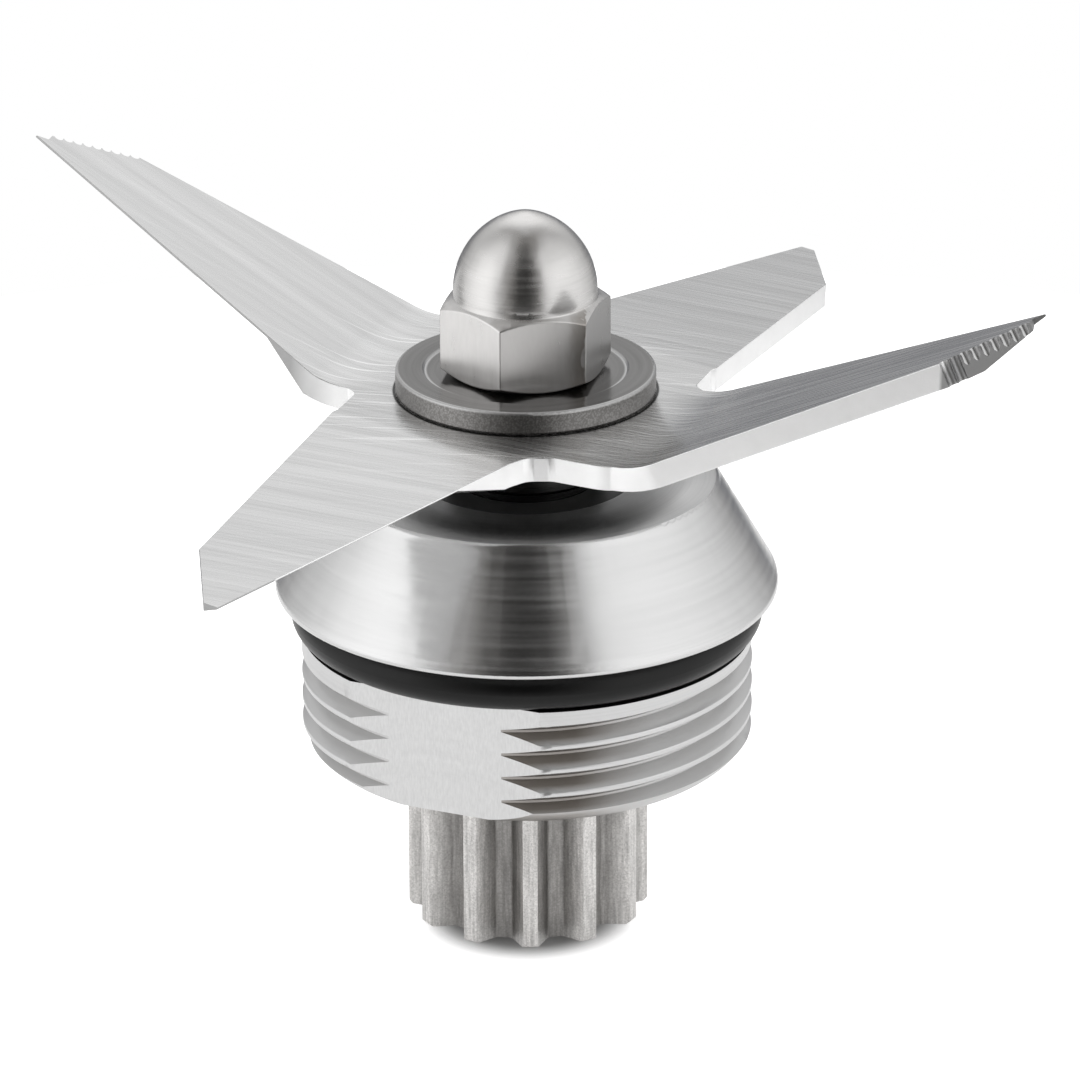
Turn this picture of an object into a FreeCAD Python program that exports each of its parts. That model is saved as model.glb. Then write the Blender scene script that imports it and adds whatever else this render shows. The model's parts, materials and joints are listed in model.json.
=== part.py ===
import FreeCAD, Part
import math
import os

# Blade assembly of a jug blender: a four-winged blade on a shaft that runs in two ball
# bearings inside a threaded housing, driven from below through a toothed coupling.
# Millimetres. +Z is up along the shaft, z = 0 is the underside of the drive spline, and
# the milled flat that shows in front faces -Y, turned towards -X.

# Shaft
SHAFT_R = 4.0
SHAFT_BOTTOM_Z = 1.0
SHAFT_FLAT = 3.3
SHAFT_IN_NUT = 8.0
SHAFT_CHAMFER = 0.5
SHAFT_FLAT_START = 1.0

# Drive spline
SPLINE_TEETH = 12
SPLINE_TIP_R = 10.2
SPLINE_ROOT_R = 8.2
SPLINE_TIP_WIDTH = 1.2
SPLINE_ROOT_WIDTH = 1.25
SPLINE_TIP_BREAK = 0.12
SPLINE_ROOT_FILLET = 0.6
SPLINE_TURN = 1.0
SPLINE_HEIGHT = 15.6
SPLINE_END_CHAMFER = 0.3
SPLINE_NECK_R = 5.9
SPLINE_NECK_HEIGHT = 1.4
SPLINE_BORE_CHAMFER = 0.6

# Ball bearings, one size used twice
BEARING_OUTER_R = 11.0
BEARING_WIDTH = 7.0
BALL_COUNT = 7
BALL_R = 1.984
BALL_CLEARANCE = 0.12
INNER_LAND_DROP = 1.5
OUTER_LAND_RISE = 1.6
RACE_CHAMFER = 0.3
SHIELD_SEAT = 0.45
SHIELD_THICKNESS = 0.25
SHIELD_SETBACK = 0.3
SHIELD_GAP = 0.35
CAGE_WALL = 1.1
CAGE_RIM = 0.4
POCKET_CLEARANCE = 0.1

# Parts between the bearings
SLEEVE_HEIGHT = 4.0
SLEEVE_WALL = 1.6
OUTER_SPACER_WALL = 1.2
DISC_SPRING_HEIGHT = 0.7
DISC_SPRING_THICKNESS = 0.3
DISC_SPRING_WIDTH = 1.5
HOUSED_RING_CLEARANCE = 0.05

# Retaining ring and its groove
RING_THICKNESS = 1.0
RING_GROOVE_DEPTH = 0.5
RING_SLACK = 0.1
RING_BAND = 1.9
RING_GAP_ANGLE = 30.0
RING_LUG_R = 1.7
RING_LUG_HOLE_R = 0.65
RING_TURN = 156.2

# Housing
HOUSING_LIP = 1.0
THREAD_R = 19.05
THREAD_PITCH = 2.117
THREAD_DEPTH = 1.3
THREAD_ROOT_WIDTH = 0.2
THREAD_TOP_MARGIN = 1.24
THREAD_CHAMFER = 1.6
THREAD_CHAMFER_CROWN = 0.12
BODY_HEIGHT = 10.4
KEY_FLAT = 17.0
KEY_ANGLE = -23.8
NECK_R = 16.4
NECK_HEIGHT = 3.7
FLANGE_R = 21.2
FLANGE_EDGE_R = 0.5
SHOULDER_R = 1.6
CONE_HALF_ANGLE = 30.0
PLATEAU_R = 16.05
PLATEAU_EDGE_R = 0.5
MOUTH_CHAMFER = 0.5
WEB_THICKNESS = 1.0
WEB_BORE_R = 8.0
O_RING_R = 1.765

# Shaft seal
SEAL_OUTER_R = 9.2
SEAL_HEIGHT = 3.1
SEAL_CASE_WALL = 0.5
SEAL_LIP_WALL = 0.9
SEAL_FACE = 0.5
SEAL_LIP_CLEARANCE = 0.08
SEAL_TOP_SETBACK = 0.25
GARTER_R = 0.45

# Spacer collar between the upper bearing and the blade
COLLAR_NECK_R = 5.9
COLLAR_HEAD_R = 6.7
COLLAR_HEIGHT = 9.6
COLLAR_HEAD_LIFT = 0.5
COLLAR_CHAMFER = 0.3

# Blade, cut and bent from one sheet
SHEET = 2.1
HOLE_CLEARANCE = 0.05
BEND_R = 8.0
CORNER_FILLET = 1.2
UP_BEND_DISTANCE = 15.5
UP_BEND_AZIMUTH = -24.0
UP_TILT = 25.0
UP_ROOT_LEAD = 5.6
UP_ROOT_TRAIL = -13.6
UP_LENGTH = 35.1
UP_TIP_OFFSET = -3.7
UP_TIP_DROP = 1.4
UP_TIP_BACK = 0.9
UP_BEAK_BACK = 1.0
UP_BEAK_WIDTH = 0.55
UP_HEEL_BACK = 7.35
UP_HEEL_OFFSET = -10.0
DOWN_BEND_DISTANCE = 14.0
DOWN_BEND_AZIMUTH = 48.0
DOWN_TILT = 4.2
DOWN_ROOT_LEAD = 10.5
DOWN_ROOT_TRAIL = -8.66
DOWN_LENGTH = 33.4
DOWN_TIP_LEAD = 9.78
DOWN_TIP_TRAIL = 8.2
DOWN_HEEL_BACK = 7.0
DOWN_HEEL_OFFSET = 1.0
NOTCH_DEPTH_R = 15.9
NOTCH_LEAD_X = 0.1
NOTCH_TRAIL_X = 2.1
NOTCH_SHOULDER_X = 6.1
NOTCH_SHOULDER_R = 17.95
NOTCH_FILLET = 1.6
BEVEL_WIDTH = 5.5
EDGE_LAND = 0.2
BEVEL_RUNOUT = 5.5
SERRATION_PITCH = 0.88
SERRATION_R = 0.42
SERRATION_DEPTH = 0.36
SERRATION_LEAN = 20.0
STRAIGHT_NOTCHES = 2

# Clamp washer and cap nut
WASHER_R = 10.9
WASHER_RIM_HEIGHT = 2.0
WASHER_RECESS_R = 8.45
WASHER_RECESS_DEPTH = 0.2
WASHER_EDGE_R = 0.25
WASHER_HOLE_CLEARANCE = 0.15
NUT_ACROSS_FLATS = 12.7
NUT_HEX_HEIGHT = 6.6
NUT_TURN = -17.0
NUT_CHAMFER_ANGLE = 30.0
NUT_THREAD_CLEARANCE = 0.03
NUT_BORE_MARGIN = 0.6
DOME_R = 6.03
DOME_SKIRT = 0.45
DOME_ARCH_R = 7.0
DOME_NOSE_R = 2.4

# Heights that follow from the stack, from the drive spline up
LOWER_BEARING_Z = SPLINE_HEIGHT + SPLINE_NECK_HEIGHT
SLEEVE_Z = LOWER_BEARING_Z + BEARING_WIDTH
UPPER_BEARING_Z = SLEEVE_Z + SLEEVE_HEIGHT
COLLAR_Z = UPPER_BEARING_Z + BEARING_WIDTH
BLADE_Z = COLLAR_Z + COLLAR_HEIGHT
BLADE_TOP_Z = BLADE_Z + SHEET
NUT_Z = BLADE_TOP_Z + WASHER_RIM_HEIGHT - WASHER_RECESS_DEPTH
HEX_TOP_Z = NUT_Z + NUT_HEX_HEIGHT
SHAFT_TOP_Z = NUT_Z + SHAFT_IN_NUT
RING_Z = LOWER_BEARING_Z - RING_THICKNESS
HOUSING_Z = RING_Z - HOUSING_LIP
BODY_TOP_Z = HOUSING_Z + BODY_HEIGHT
FLANGE_Z = BODY_TOP_Z + NECK_HEIGHT
SEAL_Z = COLLAR_Z + WEB_THICKNESS
PLATEAU_Z = SEAL_Z + SEAL_HEIGHT
RING_GROOVE_R = BEARING_OUTER_R + RING_GROOVE_DEPTH

# Radii inside a bearing, measured from the circle that the balls run on
BALL_PITCH_R = (BEARING_OUTER_R + SHAFT_R) / 2
INNER_LAND_R = BALL_PITCH_R - INNER_LAND_DROP
OUTER_LAND_R = BALL_PITCH_R + OUTER_LAND_RISE
SHIELD_RECESS_R = OUTER_LAND_R + SHIELD_SEAT

UP = FreeCAD.Vector(0, 0, 1)
ORIGIN = FreeCAD.Vector(0, 0, 0)
OVERCUT = 1.0


def polar(radius, degrees):
    """Point in the XY plane, at an angle from +X."""
    angle = math.radians(degrees)
    return FreeCAD.Vector(radius * math.cos(angle), radius * math.sin(angle), 0)


def front_angle(azimuth):
    """Angle from +X of a direction given from the front, -Y, positive to the right."""
    return azimuth - 90.0


def rounded_wire(points, radii):
    """Closed wire through the points, with an arc of the given radius at each corner."""
    starts = []
    ends = []
    middles = []
    count = len(points)
    for i in range(count):
        corner = points[i]
        to_last = (points[i - 1] - corner).normalize()
        to_next = (points[(i + 1) % count] - corner).normalize()
        half = to_last.getAngle(to_next) / 2
        setback = radii[i] / math.tan(half)
        inward = (to_last + to_next).normalize()
        starts.append(corner + to_last * setback)
        ends.append(corner + to_next * setback)
        middles.append(corner + inward * (radii[i] / math.sin(half) - radii[i]))
    edges = []
    for i in range(count):
        if radii[i] > 0:
            edges.append(Part.Arc(starts[i], middles[i], ends[i]).toShape())
        following = starts[(i + 1) % count]
        if ends[i].distanceToPoint(following) > 1e-6:
            edges.append(Part.LineSegment(ends[i], following).toShape())
    return Part.Wire(edges)


def plate(points, radii, z, height):
    """Flat plate on the height z, cut to a rounded outline."""
    lifted = [FreeCAD.Vector(p.x, p.y, z) for p in points]
    return Part.Face(rounded_wire(lifted, radii)).extrude(UP * height)


def turned(points, radii=None):
    """Solid of revolution about Z from (radius, height) corners."""
    corners = [FreeCAD.Vector(r, 0, z) for r, z in points]
    wire = rounded_wire(corners, radii or [0] * len(corners))
    return Part.Face(wire).revolve(ORIGIN, UP, 360)


def tube(outer_r, inner_r, z, height):
    """Plain ring with a square section."""
    return turned([(inner_r, z), (outer_r, z), (outer_r, z + height), (inner_r, z + height)])


def chamfered_tube(outer_r, inner_r, z, height, chamfer):
    """Ring whose outer edges are broken by a 45 degree chamfer."""
    top = z + height
    return turned([(inner_r, z), (outer_r - chamfer, z), (outer_r, z + chamfer),
                   (outer_r, top - chamfer), (outer_r - chamfer, top), (inner_r, top)])


def spun(shape, degrees):
    """Copy of a shape, turned about Z."""
    copy = shape.copy()
    copy.rotate(ORIGIN, UP, degrees)
    return copy


def half_space(direction, distance, z, height, reach):
    """Block that lies beyond a vertical plane, for milling a flat."""
    block = Part.makeBox(reach, 4 * reach, height, FreeCAD.Vector(distance, -2 * reach, z))
    return spun(block, direction)


def make_shaft():
    shaft = turned([(0, SHAFT_BOTTOM_Z), (SHAFT_R - SHAFT_CHAMFER, SHAFT_BOTTOM_Z),
                    (SHAFT_R, SHAFT_BOTTOM_Z + SHAFT_CHAMFER),
                    (SHAFT_R, SHAFT_TOP_Z - SHAFT_CHAMFER),
                    (SHAFT_R - SHAFT_CHAMFER, SHAFT_TOP_Z), (0, SHAFT_TOP_Z)])
    flats_z = BLADE_Z - SHAFT_FLAT_START
    flats_height = SHAFT_TOP_Z - flats_z + OVERCUT
    for side in (0, 180):
        shaft = shaft.cut(half_space(side, SHAFT_FLAT, flats_z, flats_height, SHAFT_R))
    return shaft


def make_drive_spline():
    points = []
    for tooth in range(SPLINE_TEETH):
        middle = front_angle(SPLINE_TURN) + 360.0 * tooth / SPLINE_TEETH
        gullet = middle + 180.0 / SPLINE_TEETH
        tip_half = math.degrees(math.asin(SPLINE_TIP_WIDTH / 2 / SPLINE_TIP_R))
        root_half = math.degrees(math.asin(SPLINE_ROOT_WIDTH / 2 / SPLINE_ROOT_R))
        points.append(polar(SPLINE_TIP_R, middle - tip_half))
        points.append(polar(SPLINE_TIP_R, middle + tip_half))
        points.append(polar(SPLINE_ROOT_R, gullet - root_half))
        points.append(polar(SPLINE_ROOT_R, gullet + root_half))
    radii = [SPLINE_TIP_BREAK, SPLINE_TIP_BREAK, SPLINE_ROOT_FILLET, SPLINE_ROOT_FILLET]
    toothed = plate(points, radii * SPLINE_TEETH, 0, SPLINE_HEIGHT)
    chamfer = SPLINE_END_CHAMFER
    blank = turned([(0, 0), (SPLINE_TIP_R - chamfer, 0), (SPLINE_TIP_R, chamfer),
                    (SPLINE_TIP_R, SPLINE_HEIGHT - chamfer),
                    (SPLINE_TIP_R - chamfer, SPLINE_HEIGHT), (0, SPLINE_HEIGHT)])
    neck = Part.makeCylinder(SPLINE_NECK_R, LOWER_BEARING_Z - SPLINE_HEIGHT / 2,
                             FreeCAD.Vector(0, 0, SPLINE_HEIGHT / 2))
    bore = Part.makeCylinder(SHAFT_R, LOWER_BEARING_Z + 2 * OVERCUT,
                             FreeCAD.Vector(0, 0, -OVERCUT))
    countersink = Part.makeCone(SHAFT_R + SPLINE_BORE_CHAMFER + OVERCUT, SHAFT_R,
                                SPLINE_BORE_CHAMFER + OVERCUT,
                                FreeCAD.Vector(0, 0, -OVERCUT))
    return toothed.common(blank).fuse(neck).removeSplitter().cut(bore).cut(countersink)


def ball_centres(z):
    return [polar(BALL_PITCH_R, 360.0 * i / BALL_COUNT) + UP * (z + BEARING_WIDTH / 2)
            for i in range(BALL_COUNT)]


def groove_torus(z):
    """The ring-shaped space that the balls run in."""
    return Part.makeTorus(BALL_PITCH_R, BALL_R + BALL_CLEARANCE,
                          FreeCAD.Vector(0, 0, z + BEARING_WIDTH / 2))


def make_inner_race(z):
    ring = chamfered_tube(INNER_LAND_R, SHAFT_R, z, BEARING_WIDTH, RACE_CHAMFER)
    return ring.cut(groove_torus(z))


def make_outer_race(z):
    ring = chamfered_tube(BEARING_OUTER_R, OUTER_LAND_R, z, BEARING_WIDTH, RACE_CHAMFER)
    depth = SHIELD_THICKNESS + SHIELD_SETBACK
    for recess_z in (z - OVERCUT, z + BEARING_WIDTH - depth):
        recess = Part.makeCylinder(SHIELD_RECESS_R, depth + OVERCUT,
                                   FreeCAD.Vector(0, 0, recess_z))
        ring = ring.cut(recess)
    return ring.cut(groove_torus(z))


def make_shields(z):
    inner_r = INNER_LAND_R + SHIELD_GAP
    low = tube(SHIELD_RECESS_R, inner_r, z + SHIELD_SETBACK, SHIELD_THICKNESS)
    high_z = z + BEARING_WIDTH - SHIELD_SETBACK - SHIELD_THICKNESS
    high = tube(SHIELD_RECESS_R, inner_r, high_z, SHIELD_THICKNESS)
    return Part.makeCompound([low, high])


def make_balls(z):
    return Part.makeCompound([Part.makeSphere(BALL_R, centre) for centre in ball_centres(z)])


def make_cage(z):
    pocket_r = BALL_R + POCKET_CLEARANCE
    half_height = pocket_r + CAGE_RIM
    cage = tube(BALL_PITCH_R + CAGE_WALL / 2, BALL_PITCH_R - CAGE_WALL / 2,
                z + BEARING_WIDTH / 2 - half_height, 2 * half_height)
    for centre in ball_centres(z):
        outward = FreeCAD.Vector(centre.x, centre.y, 0)
        pocket = Part.makeCylinder(pocket_r, BALL_PITCH_R, centre - outward / 2, outward)
        cage = cage.cut(pocket)
    return cage


def make_spacer_sleeve():
    return tube(SHAFT_R + SLEEVE_WALL, SHAFT_R, SLEEVE_Z, SLEEVE_HEIGHT)


def make_outer_spacer():
    outer_r = BEARING_OUTER_R - HOUSED_RING_CLEARANCE
    height = SLEEVE_HEIGHT - DISC_SPRING_HEIGHT
    return tube(outer_r, outer_r - OUTER_SPACER_WALL, SLEEVE_Z, height)


def make_disc_spring():
    """Coned ring that presses the upper outer race against the web."""
    outer_r = BEARING_OUTER_R - HOUSED_RING_CLEARANCE
    inner_r = outer_r - DISC_SPRING_WIDTH
    low = UPPER_BEARING_Z - DISC_SPRING_HEIGHT
    return turned([(outer_r, low), (outer_r, low + DISC_SPRING_THICKNESS),
                   (inner_r, UPPER_BEARING_Z),
                   (inner_r, UPPER_BEARING_Z - DISC_SPRING_THICKNESS)])


def make_retaining_ring():
    """Internal snap ring with two eyes for pliers."""
    outer_r = RING_GROOVE_R - RING_SLACK
    ring = tube(outer_r, outer_r - RING_BAND, RING_Z, RING_THICKNESS)
    lug_middle_r = outer_r - RING_LUG_R
    gap_half = RING_GAP_ANGLE / 2
    reach = 2 * outer_r
    wedge = Part.Face(Part.makePolygon([ORIGIN, polar(reach, -gap_half),
                                        polar(reach, gap_half), ORIGIN]))
    wedge.translate(UP * (RING_Z - OVERCUT))
    ring = ring.cut(wedge.extrude(UP * (RING_THICKNESS + 2 * OVERCUT)))
    lug_half = gap_half + math.degrees(math.asin(RING_LUG_R / lug_middle_r))
    for side in (-lug_half, lug_half):
        centre = polar(lug_middle_r, side) + UP * RING_Z
        lug = Part.makeCylinder(RING_LUG_R, RING_THICKNESS, centre)
        ring = ring.fuse(lug)
    for side in (-lug_half, lug_half):
        eye_z = UP * (RING_Z - OVERCUT)
        eye = Part.makeCylinder(RING_LUG_HOLE_R, RING_THICKNESS + 2 * OVERCUT,
                                polar(lug_middle_r, side) + eye_z)
        ring = ring.cut(eye)
    within = Part.makeCylinder(outer_r, RING_THICKNESS, UP * RING_Z)
    return spun(ring.common(within).removeSplitter(), front_angle(RING_TURN))


def thread_cutter():
    """V-shaped groove that climbs round the body and ends inside the rear flat."""
    root_r = THREAD_R - THREAD_DEPTH
    cut_r = THREAD_R + THREAD_DEPTH / 8
    top_z = BODY_TOP_Z - THREAD_TOP_MARGIN
    turns = math.ceil((BODY_HEIGHT - THREAD_TOP_MARGIN) / THREAD_PITCH) + 1
    climb = turns * THREAD_PITCH
    helix = Part.makeHelix(THREAD_PITCH, climb, root_r)
    root_half = THREAD_ROOT_WIDTH / 2
    cut_half = root_half + (cut_r - root_r) * math.tan(math.radians(30))
    groove = Part.makePolygon([FreeCAD.Vector(root_r, 0, -root_half),
                               FreeCAD.Vector(cut_r, 0, -cut_half),
                               FreeCAD.Vector(cut_r, 0, cut_half),
                               FreeCAD.Vector(root_r, 0, root_half),
                               FreeCAD.Vector(root_r, 0, -root_half)])
    cutter = Part.Wire(helix.Edges).makePipeShell([groove], True, True)
    end_angle = front_angle(KEY_ANGLE + 180)
    cutter.rotate(ORIGIN, UP, end_angle)
    cutter.translate(UP * (top_z - climb))
    return cutter


def thread_start_cutter():
    """Ring that turns the first thread down to a slightly crowned chamfer."""
    low = FreeCAD.Vector(THREAD_R - THREAD_CHAMFER, 0, HOUSING_Z)
    high = FreeCAD.Vector(THREAD_R, 0, HOUSING_Z + THREAD_CHAMFER)
    middle = (low + high) / 2 + FreeCAD.Vector(1, 0, -1).normalize() * THREAD_CHAMFER_CROWN
    outside = [low, low - UP * OVERCUT,
               FreeCAD.Vector(THREAD_R + OVERCUT, 0, HOUSING_Z - OVERCUT),
               FreeCAD.Vector(THREAD_R + OVERCUT, 0, high.z), high]
    lines = [Part.LineSegment(a, b).toShape() for a, b in zip(outside, outside[1:])]
    arc = Part.Arc(low, middle, high).toShape()
    return Part.Face(Part.Wire(lines + [arc])).revolve(ORIGIN, UP, 360)


def make_housing():
    """Turned body: thread, groove for the sealing ring, flange, cone and stepped bore."""
    cone_rise = (FLANGE_R - PLATEAU_R) / math.tan(math.radians(CONE_HALF_ANGLE))
    outline = [(0, HOUSING_Z), (THREAD_R, HOUSING_Z), (THREAD_R, BODY_TOP_Z),
               (NECK_R, BODY_TOP_Z), (NECK_R, FLANGE_Z), (FLANGE_R, FLANGE_Z),
               (FLANGE_R, PLATEAU_Z - cone_rise), (PLATEAU_R, PLATEAU_Z), (0, PLATEAU_Z)]
    radii = [0, 0, 0, 0, 0, FLANGE_EDGE_R, SHOULDER_R, PLATEAU_EDGE_R, 0]
    body = turned(outline, radii).cut(thread_start_cutter()).cut(thread_cutter())
    for side in (KEY_ANGLE, KEY_ANGLE + 180):
        body = body.cut(half_space(front_angle(side), KEY_FLAT, HOUSING_Z - OVERCUT,
                                   BODY_HEIGHT + OVERCUT, THREAD_R))
    bore_bottom = HOUSING_Z - OVERCUT
    bore = turned([(0, bore_bottom), (BEARING_OUTER_R + MOUTH_CHAMFER, bore_bottom),
                   (BEARING_OUTER_R + MOUTH_CHAMFER, HOUSING_Z),
                   (BEARING_OUTER_R, HOUSING_Z + MOUTH_CHAMFER),
                   (BEARING_OUTER_R, RING_Z), (RING_GROOVE_R, RING_Z),
                   (RING_GROOVE_R, LOWER_BEARING_Z), (BEARING_OUTER_R, LOWER_BEARING_Z),
                   (BEARING_OUTER_R, COLLAR_Z), (WEB_BORE_R, COLLAR_Z),
                   (WEB_BORE_R, SEAL_Z), (SEAL_OUTER_R, SEAL_Z),
                   (SEAL_OUTER_R, PLATEAU_Z + OVERCUT), (0, PLATEAU_Z + OVERCUT)])
    return body.cut(bore)


def make_o_ring():
    """Sealing ring, stretched over the neck under the flange."""
    middle_z = (BODY_TOP_Z + FLANGE_Z) / 2
    return Part.makeTorus(NECK_R + O_RING_R, O_RING_R, UP * middle_z)


def make_seal_case():
    """Pressed steel cup of the shaft seal, open towards the blade."""
    wall = SEAL_CASE_WALL
    top = PLATEAU_Z - SEAL_TOP_SETBACK - SEAL_FACE
    return turned([(WEB_BORE_R, SEAL_Z), (SEAL_OUTER_R, SEAL_Z), (SEAL_OUTER_R, top),
                   (SEAL_OUTER_R - wall, top), (SEAL_OUTER_R - wall, SEAL_Z + wall),
                   (WEB_BORE_R, SEAL_Z + wall)])


def make_seal_lip():
    """Rubber of the shaft seal: a face that covers the cup and a lip round the collar."""
    lip_r = COLLAR_NECK_R + SEAL_LIP_CLEARANCE
    back_r = lip_r + SEAL_LIP_WALL
    low = SEAL_Z + SEAL_CASE_WALL
    top = PLATEAU_Z - SEAL_TOP_SETBACK
    return turned([(SEAL_OUTER_R, top), (lip_r, top), (lip_r, low), (back_r, low),
                   (back_r, top - SEAL_FACE), (SEAL_OUTER_R, top - SEAL_FACE)])


def make_garter_spring():
    """Coil that holds the lip against the collar, shown as its outer form."""
    back_r = COLLAR_NECK_R + SEAL_LIP_CLEARANCE + SEAL_LIP_WALL
    spring_z = SEAL_Z + 2 * SEAL_CASE_WALL + GARTER_R
    return Part.makeTorus(back_r + GARTER_R, GARTER_R, UP * spring_z)


def make_blade_spacer():
    """Collar that carries the blade clear of the housing."""
    head_z = PLATEAU_Z + COLLAR_HEAD_LIFT
    return turned([(SHAFT_R, COLLAR_Z), (COLLAR_NECK_R, COLLAR_Z), (COLLAR_NECK_R, head_z),
                   (COLLAR_HEAD_R - COLLAR_CHAMFER, head_z),
                   (COLLAR_HEAD_R, head_z + COLLAR_CHAMFER), (COLLAR_HEAD_R, BLADE_Z),
                   (SHAFT_R, BLADE_Z)])


def wing_frame(distance, azimuth):
    """Origin on the bend line, outward direction and direction along the bend."""
    outward = polar(1, azimuth)
    along = polar(1, azimuth + 90)
    return outward * distance, outward, along


def bend_setback(tilt):
    """How far the sheet starts to curve before the line where its faces would meet."""
    inner = BEND_R if tilt > 0 else BEND_R + SHEET
    return inner * math.tan(math.radians(abs(tilt)) / 2)


def bend_axis_point(tilt):
    """A point of the bend's axis in the plane of a wing, before it is placed."""
    height = BEND_R if tilt > 0 else -SHEET - BEND_R
    return FreeCAD.Vector(-bend_setback(tilt), 0, height)


def bevel_section(a, c, inward, strength):
    """Corners of the ground wedge across a sharp edge at one place along it."""
    edge = FreeCAD.Vector(a, c, -EDGE_LAND)
    heel = FreeCAD.Vector(a, c, -SHEET) + inward * BEVEL_WIDTH
    slope = edge - heel
    outside = edge + slope * 0.3
    below = heel - slope * 0.3
    corner = FreeCAD.Vector(outside.x, outside.y, below.z)
    base = FreeCAD.Vector(a, c, -SHEET)
    return [base + (p - base) * strength for p in (outside, below, corner)]


def bevel_cutter(start, end, inward):
    """Wedge ground from the underside, growing from nothing over the run-out."""
    travel = end - start
    direction = FreeCAD.Vector(travel.x, travel.y, 0).normalize()
    full = start + direction * BEVEL_RUNOUT
    beyond = end + direction * BEVEL_WIDTH
    first = Part.makePolygon(closed(bevel_section(full.x, full.y, inward, 1.0)))
    last = Part.makePolygon(closed(bevel_section(beyond.x, beyond.y, inward, 1.0)))
    grown = Part.makeLoft([first, last], True, True)
    apex = Part.Vertex(FreeCAD.Vector(start.x, start.y, -SHEET))
    growing = Part.makeLoft([apex, first], True, True)
    return [growing, grown]


def closed(points):
    return points + [points[0]]


def serration_cutters(start, end):
    """Row of round notches. The first ones go straight down, the others lean out and fade."""
    run = end - start
    count = int(run.Length / SERRATION_PITCH)
    step = run.normalize()
    outward = FreeCAD.Vector(step.y, -step.x, 0)
    cutters = []
    for i in range(count):
        lean = math.radians(0 if i < STRAIGHT_NOTCHES else SERRATION_LEAN)
        axis = UP * math.cos(lean) - outward * math.sin(lean)
        reach = (SHEET + OVERCUT) / math.cos(lean)
        top = (start + step * (SERRATION_PITCH * (i + 0.5))
               + outward * (SERRATION_R - SERRATION_DEPTH))
        cutters.append(Part.makeCylinder(SERRATION_R, 2 * reach, top - axis * reach, axis))
    return cutters


def flat_wing(points, sharp, inward, notched):
    """One wing before it is tilted: x runs outwards, y along the bend, top face at z = 0."""
    wing = plate(points, [0] * len(points), -SHEET, SHEET)
    for cutter in bevel_cutter(sharp[0], sharp[1], inward):
        wing = wing.cut(cutter)
    if notched:
        wing = wing.cut(Part.makeCompound(serration_cutters(notched[0], notched[1])))
    return wing


def bent_wing(wing, lead, trail, tilt):
    """Curved strip of sheet at the bend, and the wing swung up or down beyond it."""
    setback = bend_setback(tilt)
    axis_point = bend_axis_point(tilt)
    swing = FreeCAD.Vector(0, -1 if tilt > 0 else 1, 0)
    edge = Part.Face(Part.makePolygon(closed([FreeCAD.Vector(-setback, trail, -SHEET),
                                              FreeCAD.Vector(-setback, lead, -SHEET),
                                              FreeCAD.Vector(-setback, lead, 0),
                                              FreeCAD.Vector(-setback, trail, 0)])))
    strip = edge.revolve(axis_point, swing, abs(tilt))
    moved = wing.copy()
    moved.translate(FreeCAD.Vector(-2 * setback, 0, 0))
    moved.rotate(axis_point, swing, abs(tilt))
    return strip.fuse(moved)


def placed_wing(shape, distance, azimuth):
    wing = shape.copy()
    wing.translate(FreeCAD.Vector(distance, 0, BLADE_TOP_Z))
    return spun(wing, azimuth)


def make_up_wing():
    setback = bend_setback(UP_TILT)
    heel_a = UP_LENGTH - UP_HEEL_BACK
    lead_root = FreeCAD.Vector(setback, UP_ROOT_LEAD, 0)
    tip = FreeCAD.Vector(UP_LENGTH, UP_TIP_OFFSET, 0)
    beak = FreeCAD.Vector(UP_LENGTH - UP_BEAK_BACK, UP_TIP_OFFSET - UP_BEAK_WIDTH, 0)
    tip_low = FreeCAD.Vector(UP_LENGTH - UP_TIP_BACK, UP_TIP_OFFSET - UP_TIP_DROP, 0)
    heel = FreeCAD.Vector(heel_a, UP_HEEL_OFFSET, 0)
    trail_root = FreeCAD.Vector(setback, UP_ROOT_TRAIL, 0)
    travel = tip - lead_root
    inward = FreeCAD.Vector(travel.y, -travel.x, 0).normalize()
    wing = flat_wing([lead_root, trail_root, heel, tip_low, beak, tip], (lead_root, tip),
                     inward, (heel, tip_low))
    bent = bent_wing(wing, UP_ROOT_LEAD, UP_ROOT_TRAIL, UP_TILT)
    return placed_wing(bent, UP_BEND_DISTANCE, UP_BEND_AZIMUTH)


def make_down_wing():
    setback = bend_setback(-DOWN_TILT)
    heel_a = DOWN_LENGTH - DOWN_HEEL_BACK
    lead_root = FreeCAD.Vector(setback, DOWN_ROOT_LEAD, 0)
    lead_tip = FreeCAD.Vector(DOWN_LENGTH, DOWN_TIP_LEAD, 0)
    trail_tip = FreeCAD.Vector(DOWN_LENGTH, DOWN_TIP_TRAIL, 0)
    heel = FreeCAD.Vector(heel_a, DOWN_HEEL_OFFSET, 0)
    trail_root = FreeCAD.Vector(setback, DOWN_ROOT_TRAIL, 0)
    travel = lead_tip - lead_root
    inward = FreeCAD.Vector(travel.y, -travel.x, 0).normalize()
    wing = flat_wing([lead_root, trail_root, heel, trail_tip, lead_tip],
                     (lead_root, lead_tip), inward, None)
    bent = bent_wing(wing, DOWN_ROOT_LEAD, DOWN_ROOT_TRAIL, -DOWN_TILT)
    return placed_wing(bent, DOWN_BEND_DISTANCE, DOWN_BEND_AZIMUTH)


def bend_corner(distance, azimuth, tilt, offset):
    """Corner of the hub plate, where a wing's bend starts."""
    start, outward, along = wing_frame(distance, azimuth)
    return start - outward * bend_setback(tilt) + along * offset


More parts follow.
